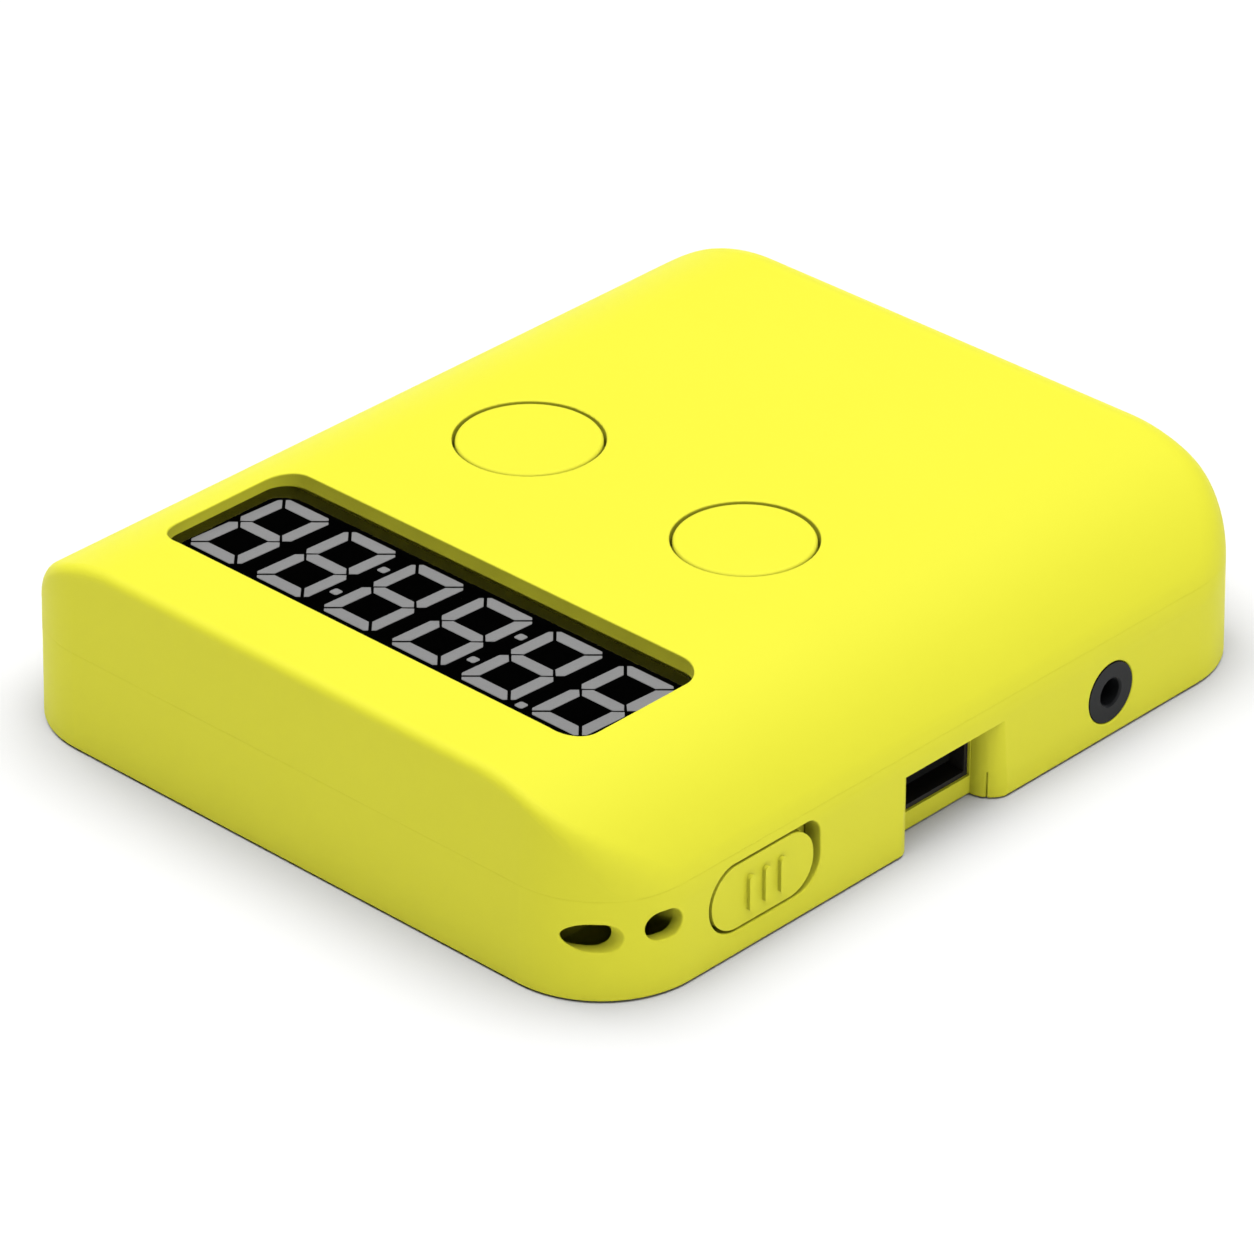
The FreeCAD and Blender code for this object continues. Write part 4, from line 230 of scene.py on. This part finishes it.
def dress(material, *names):
    """Gives CAD nodes their finish."""
    for name in names:
        nodes[name].data.materials.clear()
        nodes[name].data.materials.append(material)


case_plastic = finish(
    "case_plastic", CASE_YELLOW, gloss=0.46, grain=0.25, sheen=0.08, bounce_shade=CASE_BOUNCE
)
dress(case_plastic, "top_shell", "bottom_shell")

# ------------------------------------------------------------------ battery cover
# The door of the battery bay, moulded in the case's plastic, with a tab at one end and a finger
# grip at the other. Its clips hold it flush with the base.

dress(case_plastic, "battery_cover")

# ------------------------------------------------------------------ push buttons
# Two round caps with a shallow finger dish, moulded in the case's plastic. A flange under the roof
# keeps each one in.

dress(case_plastic, "left_button", "right_button")

# ------------------------------------------------------------------ power slide
# A flat knob with three ribs for the thumb, moulded in the case's plastic. A plate behind the wall
# closes the slot and a fork takes the lever of the switch.

dress(case_plastic, "slide_knob")

# ------------------------------------------------------------------ display window
# A clear plate of cast acrylic, polished on both faces and glued in its seat under the opening. It
# bends nothing at this thickness, so it is a clear film with a surface gloss.

ACRYLIC_INDEX = 1.49
SMEAR_SCALE = 90.0
SMEAR_DETAIL = 4.0
SMEAR_GLOSS = (0.01, 0.05)

acrylic = bpy.data.materials.new("clear_acrylic")
acrylic.use_nodes = True
tree = acrylic.node_tree
tree.nodes.remove(tree.nodes["Principled BSDF"])
place = shader(tree, "TexCoord").outputs["Object"]
smears = shader(tree, "TexNoise", Vector=place, Scale=SMEAR_SCALE, Detail=SMEAR_DETAIL)
clear = shader(tree, "BsdfTransparent", Color=WHITE)
polish = shader(
    tree, "MapRange", Value=smears.outputs["Fac"], To_Min=SMEAR_GLOSS[0], To_Max=SMEAR_GLOSS[1]
)
shine = shader(tree, "BsdfGlossy", Color=WHITE, Roughness=polish.outputs["Result"])
behind = shader(tree, "NewGeometry").outputs["Backfacing"]
reflected = shader(tree, "Fresnel", IOR=ACRYLIC_INDEX).outputs["Fac"]
glint = sums(tree, "MULTIPLY", reflected, sums(tree, "SUBTRACT", 1.0, behind))
pane = shader(tree, "MixShader", Fac=glint)
connect(tree, pane.inputs[1], clear.outputs["BSDF"])
connect(tree, pane.inputs[2], shine.outputs["BSDF"])
connect(tree, tree.nodes["Material Output"].inputs["Surface"], pane.outputs["Shader"])
dress(acrylic, "display_window")

# ------------------------------------------------------------------ display
# A reversed liquid crystal panel: two sheets of glass with a black filtered ground, and figures
# that pass a plain grey. A contact ledge runs along its two long edges.

GROUND_TONES = ((0.0005, 0.0005, 0.0005), (0.001, 0.001, 0.001))
FIGURE_TONES = ((0.285, 0.285, 0.285), (0.325, 0.325, 0.325))
dress(finish("display_dark", GROUND_TONES, gloss=0.6, sheen=0.0), "lcd_panel")
dress(finish("display_grey", FIGURE_TONES, gloss=0.6, grain=0.15, sheen=0.0), "lcd_segments")

# ------------------------------------------------------------------ display frame and zebra strips
# A white frame holds the panel over the board. In its two long slots lie conductive rubber strips,
# made of hundreds of thin black and pink layers, which join the panel's ledges to the board.

FRAME_TONES = ((0.80, 0.80, 0.78), (0.84, 0.84, 0.82))
STRIP_WIDTH = 1.7 * MM
STRIP_SOFT = 0.2
ROUND_STEPS = 3
LAYER = 0.18
PINK_TONES = ((0.42, 0.26, 0.25), (0.47, 0.30, 0.29))
LAYER_BLACK = (0.015, 0.015, 0.017, 1.0)
SHARP_EDGE = 35

dress(finish("white_plastic", FRAME_TONES, gloss=0.45), "lcd_frame")


def solid(name, form, body, *materials, standing_for=()):
    """Turns a finished bmesh into a piece that rides on a body and stands for CAD nodes."""
    for face in form.faces:
        face.smooth = True
    for edge in form.edges:
        edge.smooth = edge.calc_face_angle(0.0) < radians(SHARP_EDGE)
    mesh = bpy.data.meshes.new(name)
    form.to_mesh(mesh)
    form.free()
    for material in materials:
        mesh.materials.append(material)
    piece = bpy.data.objects.new(name, mesh)
    bpy.context.collection.objects.link(piece)
    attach(piece, body)
    if standing_for:
        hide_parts(*standing_for)
    return piece


def block(form, low, high, edge):
    """A box between two corners, in metres, with its edges rounded."""
    low, high = Vector(low), Vector(high)
    size = Matrix.Diagonal((*(high - low), 1.0))
    middle = Matrix.Translation((low + high) / 2)
    made = bmesh.ops.create_cube(form, size=1.0, matrix=middle @ size)
    edges = list({side for corner in made["verts"] for side in corner.link_edges})
    bmesh.ops.bevel(
        form, geom=edges, offset=edge * MM, segments=ROUND_STEPS, profile=0.5,
        affect="EDGES", material=-1,
    )


def opened(material):
    """A finish's node tree, its surface, the socket that feeds its colour, and its place."""
    tree = material.node_tree
    surface = tree.nodes["Principled BSDF"]
    colour = surface.inputs["Base Color"].links[0].from_socket
    return tree, surface, colour, tree.nodes["Texture Coordinate"].outputs["Object"]


def measured(tree, place, axis):
    """How far along an axis a place lies."""
    return shader(tree, "SeparateXYZ", Vector=place).outputs[axis]


strip_low, strip_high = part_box("zebra_strips")
strips = bmesh.new()
for y in (strip_low.y, strip_high.y - STRIP_WIDTH):
    near = (strip_low.x, y, strip_low.z)
    far = (strip_high.x, y + STRIP_WIDTH, strip_high.z)
    block(strips, near, far, STRIP_SOFT)
strip_rubber = finish("strip_rubber", PINK_TONES, gloss=0.75, grain=0.1)
tree, surface, pink, place = opened(strip_rubber)
count = sums(tree, "DIVIDE", measured(tree, place, "X"), LAYER * MM)
layers = sums(tree, "GREATER_THAN", sums(tree, "FRACT", count), 0.5)
connect(tree, surface.inputs["Base Color"], blended(tree, layers, pink, LAYER_BLACK))
strip_pair = solid("zebra_strip_pair", strips, "case", strip_rubber, standing_for=["zebra_strips"])

# ------------------------------------------------------------------ domes, pills and pads
# Under each button a silicone dome stands on the main board and springs it back. A pill of carbon
# rubber under its roof closes the gilt comb on the board when the dome gives way.

DOME_PROFILE = [
    (3.3, 0.0), (5.3, 0.0), (5.5, 0.2), (5.5, 0.4), (5.3, 0.6), (4.45, 0.62), (4.15, 0.75),
    (3.0, 1.9), (2.75, 2.12), (2.6, 2.3), (2.6, 2.75), (2.45, 2.9), (0.6, 2.9), (0.5, 2.8),
    (0.5, 2.6), (0.35, 2.5), (0.0, 2.5), (0.0, 1.5), (1.95, 1.5), (2.15, 1.42), (3.05, 0.4),
    (3.2, 0.2),
]
PILL_PROFILE = [
    (0.0, 0.03), (0.9, 0.03), (1.0, 0.0), (1.48, 0.0), (1.6, 0.12), (1.6, 0.4), (1.55, 0.45),
    (0.0, 0.45),
]
PILL_STEPS = 40
WELD = 0.002 * MM
SILICONE_TONES = ((0.66, 0.67, 0.66), (0.72, 0.73, 0.72))
SILICONE_SCATTER = 0.25
SCATTER_REACH = 1.0 * MM
CARBON_TONES = ((0.010, 0.010, 0.011), (0.018, 0.018, 0.019))


def turned(form, centre, profile, steps=64):
    """Spins a closed outline of (radius, height) corners, in millimetres, about an upright axis."""
    corners = [form.verts.new(centre + Vector((out, 0.0, up)) * MM) for out, up in profile]
    ends = zip(profile, corners, profile[1:] + profile[:1], corners[1:] + corners[:1])
    sides = [
        form.edges.new((one, other)) for (near, _), one, (far, _), other in ends if near or far
    ]
    bmesh.ops.spin(
        form, geom=corners + sides, cent=centre, axis=(0, 0, 1), angle=2 * pi, steps=steps,
        use_merge=True,
    )
    bmesh.ops.remove_doubles(form, verts=form.verts, dist=WELD)
    bmesh.ops.recalc_face_normals(form, faces=form.faces)


def foot_of(node):
    """The middle of a node's underside."""
    low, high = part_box(node)
    return Vector(((low.x + high.x) / 2, (low.y + high.y) / 2, low.z))


silicone = finish("silicone", SILICONE_TONES, gloss=0.38, grain=0.2, relief=4.0)
surface = silicone.node_tree.nodes["Principled BSDF"]
surface.inputs["Subsurface Weight"].default_value = SILICONE_SCATTER
surface.inputs["Subsurface Scale"].default_value = SCATTER_REACH
carbon = finish("carbon", CARBON_TONES, gloss=0.7, grain=0.12, relief=6.0)
for side in ("left", "right"):
    foot = foot_of(side + "_button_dome")
    form = bmesh.new()
    turned(form, foot, DOME_PROFILE)
    dome = solid(side + "_dome", form, "case", silicone, standing_for=[side + "_button_dome"])
    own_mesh(dome)
    form = bmesh.new()
    turned(form, foot_of(side + "_contact_pill"), PILL_PROFILE, steps=PILL_STEPS)
    stands_for = [side + "_contact_pill"]
    pill = solid(side + "_pill", form, side + "_button", carbon, standing_for=stands_for)

GILT_TONES = ((0.86, 0.62, 0.26), (0.92, 0.68, 0.30))
COMB_PITCH = 0.55
COMB_GAP = 0.35
COMB_GREEN = (0.02, 0.10, 0.045, 1.0)

gilt_comb = finish("gilt_comb", GILT_TONES, gloss=0.28, grain=0.15)
tree, surface, gold, place = opened(gilt_comb)
count = sums(tree, "DIVIDE", measured(tree, place, "X"), COMB_PITCH * MM)
bare = sums(tree, "LESS_THAN", sums(tree, "FRACT", count), COMB_GAP)
connect(tree, surface.inputs["Base Color"], blended(tree, bare, gold, COMB_GREEN))
connect(tree, surface.inputs["Metallic"], sums(tree, "SUBTRACT", 1.0, bare))
dress(gilt_comb, "contact_pads")

# ------------------------------------------------------------------ main board
# Glass fibre board with green solder mask over copper tracks. It hangs from the posts of the top
# shell on pan-headed screws, turned from wire and zinc plated.

MASK_TONES = ((0.010, 0.105, 0.045), (0.013, 0.120, 0.052))
TRACK_GREEN = (0.022, 0.21, 0.075, 1.0)
TRACK_PITCH = 1.6
TRACK_SHARE = 0.09
TRACK_SOFT = 0.1
TRACK_LENGTH = 7.0
TRACK_RELIEF = 0.03
WEAVE_SCALE = 300.0
WEAVE_WANDER = 0.3
WEAVE_RELIEF = 0.15
THREAD_PITCH = 1.0
THREAD_RELIEF = 0.12
ZINC_TONES = ((0.60, 0.61, 0.63), (0.68, 0.69, 0.70))


def board_finish(name):
    """Green solder mask with paler tracks and the weave of the glass fibre under it."""
    material = finish(name, MASK_TONES, gloss=0.32, grain=0.5)
    tree, surface, green, place = opened(material)
    tracks = shader(
        tree, "TexBrick", Vector=place, Scale=1 / (TRACK_PITCH * MM), Mortar_Size=TRACK_SHARE,
        Mortar_Smooth=TRACK_SOFT, Brick_Width=TRACK_LENGTH, Row_Height=1.0,
    ).outputs["Fac"]
    weave = shader(
        tree, "TexWave", Vector=place, Scale=WEAVE_SCALE, Distortion=WEAVE_WANDER, Detail=1.0
    ).outputs["Fac"]
    connect(tree, surface.inputs["Base Color"], blended(tree, tracks, green, TRACK_GREEN))
    relief = sums(tree, "ADD", tracks, sums(tree, "MULTIPLY", weave, WEAVE_RELIEF))
    raised = shader(tree, "Bump", Height=relief, Distance=TRACK_RELIEF * MM)
    connect(tree, surface.inputs["Normal"], raised.outputs["Normal"])
    return material


def thread_finish(name, tones, gloss):
    """Plated steel with a thread's turns, one above the other."""
    material = finish(name, tones, gloss=gloss, grain=0.2, metal=1.0)
    tree, surface, _, place = opened(material)
    count = sums(tree, "DIVIDE", measured(tree, place, "Z"), THREAD_PITCH * MM / 2)
    turn = sums(tree, "PINGPONG", count, 1.0)
    turns = shader(tree, "Bump", Height=turn, Distance=THREAD_RELIEF * MM)
    connect(tree, surface.inputs["Normal"], turns.outputs["Normal"])
    return material


dress(board_finish("board_mask"), "main_board")
zinc_screws = thread_finish("zinc_screws", ZINC_TONES, gloss=0.3)
dress(zinc_screws, "board_screws", "side_board_screws", "case_screws")

# ------------------------------------------------------------------ controller chip
# The controller is bonded straight to the main board's underside, under a drop of black epoxy that
# has run out into a low round cap and set with a gloss.

EPOXY_TONES = ((0.010, 0.010, 0.011), (0.015, 0.015, 0.016))
dress(finish("epoxy_drop", EPOXY_TONES, gloss=0.18, grain=0.6, relief=5.0), "controller_chip")

# ------------------------------------------------------------------ crystal, capacitors and link
# A drawn can holds the crystal beside the chip. Five ceramic capacitors have tinned ends, and a
# moulded connector of pins carries the side board's lines down from the main board.

CAN_TONES = ((0.66, 0.65, 0.62), (0.74, 0.73, 0.70))
CERAMIC_TONES = ((0.40, 0.29, 0.18), (0.46, 0.34, 0.22))
CAPACITOR_MIDDLE = -23.0 * MM
CERAMIC_HALF = 0.62 * MM
TINNED_END = (0.70, 0.70, 0.68, 1.0)
BLACK_TONES = ((0.012, 0.012, 0.013), (0.018, 0.018, 0.019))

drawn_can = finish("drawn_can", CAN_TONES, gloss=0.26, grain=0.25, metal=1.0, drawn=(1, 1, 0.15))
dress(drawn_can, "crystal")
ceramic = finish("ceramic", CERAMIC_TONES, gloss=0.5, grain=0.06)
tree, surface, brown, place = opened(ceramic)
along = sums(tree, "SUBTRACT", measured(tree, place, "Y"), CAPACITOR_MIDDLE)
tipped = sums(tree, "GREATER_THAN", sums(tree, "ABSOLUTE", along), CERAMIC_HALF)
connect(tree, surface.inputs["Base Color"], blended(tree, tipped, brown, TINNED_END))
connect(tree, surface.inputs["Metallic"], tipped)
dress(ceramic, "capacitors")
moulded_black = finish("black_plastic", BLACK_TONES, gloss=0.45, grain=0.2)
dress(moulded_black, "board_link")

# ------------------------------------------------------------------ side board and switch
# A narrow board under the right wall carries the slide switch, the USB socket and the data jack.
# The switch has a folded case of tinned sheet and a moulded lever.

SHEET_TONES = ((0.56, 0.56, 0.55), (0.66, 0.66, 0.64))

dress(board_finish("side_board_mask"), "side_board")
tin_sheet = finish("tin_sheet", SHEET_TONES, gloss=0.3, grain=0.35, metal=1.0, drawn=(1, 0.2, 1))
dress(tin_sheet, "switch_body")
dress(moulded_black, "switch_lever")

# ------------------------------------------------------------------ USB socket
# A shell folded from dark plated sheet round a black tongue that carries five gilt contacts. It
# opens at the back of the recess in the right side. The shell's tone is partly its dark plating and
# partly painted shade inside the socket. The tongue is darker than the other black plastic, as
# painted shade deep in its mouth.

# Partly painted shade: these tones are darkened for the shade inside the socket.
STEEL_AND_SHADE_TONES = ((0.017, 0.015, 0.015), (0.028, 0.025, 0.025))
TONGUE_AND_SHADE_TONES = ((0.002, 0.002, 0.002), (0.004, 0.004, 0.004))
dress(finish("dark_steel", STEEL_AND_SHADE_TONES, gloss=0.45, grain=0.2, sheen=0.2), "usb_shell")
dress(finish("tongue_black_and_shade", TONGUE_AND_SHADE_TONES, gloss=0.6, sheen=0.05), "usb_tongue")
gilt = finish("gilt", GILT_TONES, gloss=0.28, grain=0.15, metal=1.0, drawn=(0.2, 1, 1))
dress(gilt, "usb_contacts")

# ------------------------------------------------------------------ data jack
# A black nylon body with a round nose that fills its hole in the wall. Two springs of tinned bronze
# reach into the bore.

JACK_TONES = ((0.010, 0.011, 0.012), (0.013, 0.014, 0.015))
dress(finish("jack_plastic", JACK_TONES, gloss=0.42, grain=0.2, sheen=0.18), "data_jack_body")
dress(tin_sheet, "data_jack_springs")

# ------------------------------------------------------------------ batteries
# Two AAA cells lie head to tail. Each can is nickel plated steel in a shrunk film, copper coloured
# over its positive third and charcoal beyond, that leaves the nub and the far end bare.

CAN_BARE_TONES = ((0.62, 0.61, 0.58), (0.70, 0.69, 0.66))
FILM_START = 1.05 * MM
BAND_END = 13.5 * MM
LINE_END = 14.3 * MM
FILM_END = 44.25 * MM
COPPER = (0.50, 0.20, 0.075, 1.0)
CHARCOAL = (0.020, 0.021, 0.023, 1.0)
PALE_LINE = (0.72, 0.72, 0.70, 1.0)


def cell_finish(name, nub_end, towards):
    """A cell's film and bare ends, by the distance along X from the tip of its nub."""
    material = finish(name, CAN_BARE_TONES, gloss=0.27, grain=0.3)
    tree, surface, nickel, place = opened(material)
    offset = sums(tree, "SUBTRACT", measured(tree, place, "X"), nub_end)
    from_nub = sums(tree, "MULTIPLY", offset, towards)
    past_band = sums(tree, "GREATER_THAN", from_nub, BAND_END)
    past_line = sums(tree, "GREATER_THAN", from_nub, LINE_END)
    film = blended(tree, past_line, blended(tree, past_band, COPPER, PALE_LINE), CHARCOAL)
    begun = sums(tree, "GREATER_THAN", from_nub, FILM_START)
    covered = sums(tree, "MULTIPLY", begun, sums(tree, "LESS_THAN", from_nub, FILM_END))
    connect(tree, surface.inputs["Base Color"], blended(tree, covered, nickel, film))
    shiny = sums(tree, "SUBTRACT", 1.0, sums(tree, "MULTIPLY", covered, past_band))
    connect(tree, surface.inputs["Metallic"], shiny)
    return material


front_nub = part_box("front_battery")[1].x
back_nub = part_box("back_battery")[0].x
dress(cell_finish("front_cell", front_nub, -1.0), "front_battery")
dress(cell_finish("back_cell", back_nub, 1.0), "back_battery")

# ------------------------------------------------------------------ battery contacts and wires
# Plates of nickelled steel stand in slots of the bay with conical springs at the negative ends. Two
# stranded wires in PVC run from their tabs to the main board.

NICKEL_TONES = ((0.62, 0.60, 0.56), (0.72, 0.70, 0.66))
RED_TONES = ((0.52, 0.010, 0.010), (0.60, 0.016, 0.014))
WIRE_BLACK_TONES = ((0.010, 0.010, 0.010), (0.018, 0.018, 0.018))

nickel_plate = finish(
    "nickel_plate", NICKEL_TONES, gloss=0.28, grain=0.3, metal=1.0, drawn=(1, 1, 0.2)
)
dress(nickel_plate, "battery_plates")
dress(finish("spring_wire", NICKEL_TONES, gloss=0.22, grain=0.12, metal=1.0), "battery_springs")
dress(finish("red_wire", RED_TONES, gloss=0.36, grain=0.2), "red_battery_wire")
dress(finish("black_wire", WIRE_BLACK_TONES, gloss=0.36, grain=0.2), "black_battery_wire")

# ------------------------------------------------------------------ feet
# Four discs of black nitrile rubber, glued in shallow seats of the base. Each stands on a narrow
# rim round a hollow underside.

FOOT_PROFILE = [
    (0.0, 0.12), (1.9, 0.12), (2.1, 0.0), (2.75, 0.0), (2.93, 0.06), (3.0, 0.2), (3.0, 0.85),
    (2.95, 0.9), (0.0, 0.9),
]
FOOT_PLACES = [(-30.5, -31.0), (30.5, -31.0), (-24.0, 38.9), (24.0, 38.9)]
RUBBER_TONES = ((0.016, 0.016, 0.016), (0.024, 0.024, 0.023))

rubber = finish("foot_rubber", RUBBER_TONES, gloss=0.75, grain=0.15, relief=9.0)
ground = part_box("rubber_feet")[0].z
feet = bmesh.new()
for x, y in FOOT_PLACES:
    foot = bmesh.new()
    turned(foot, Vector((x * MM, y * MM, ground)), FOOT_PROFILE)
    one = bpy.data.meshes.new("foot")
    foot.to_mesh(one)
    foot.free()
    feet.from_mesh(one)
solid("feet", feet, "case", rubber, standing_for=["rubber_feet"])
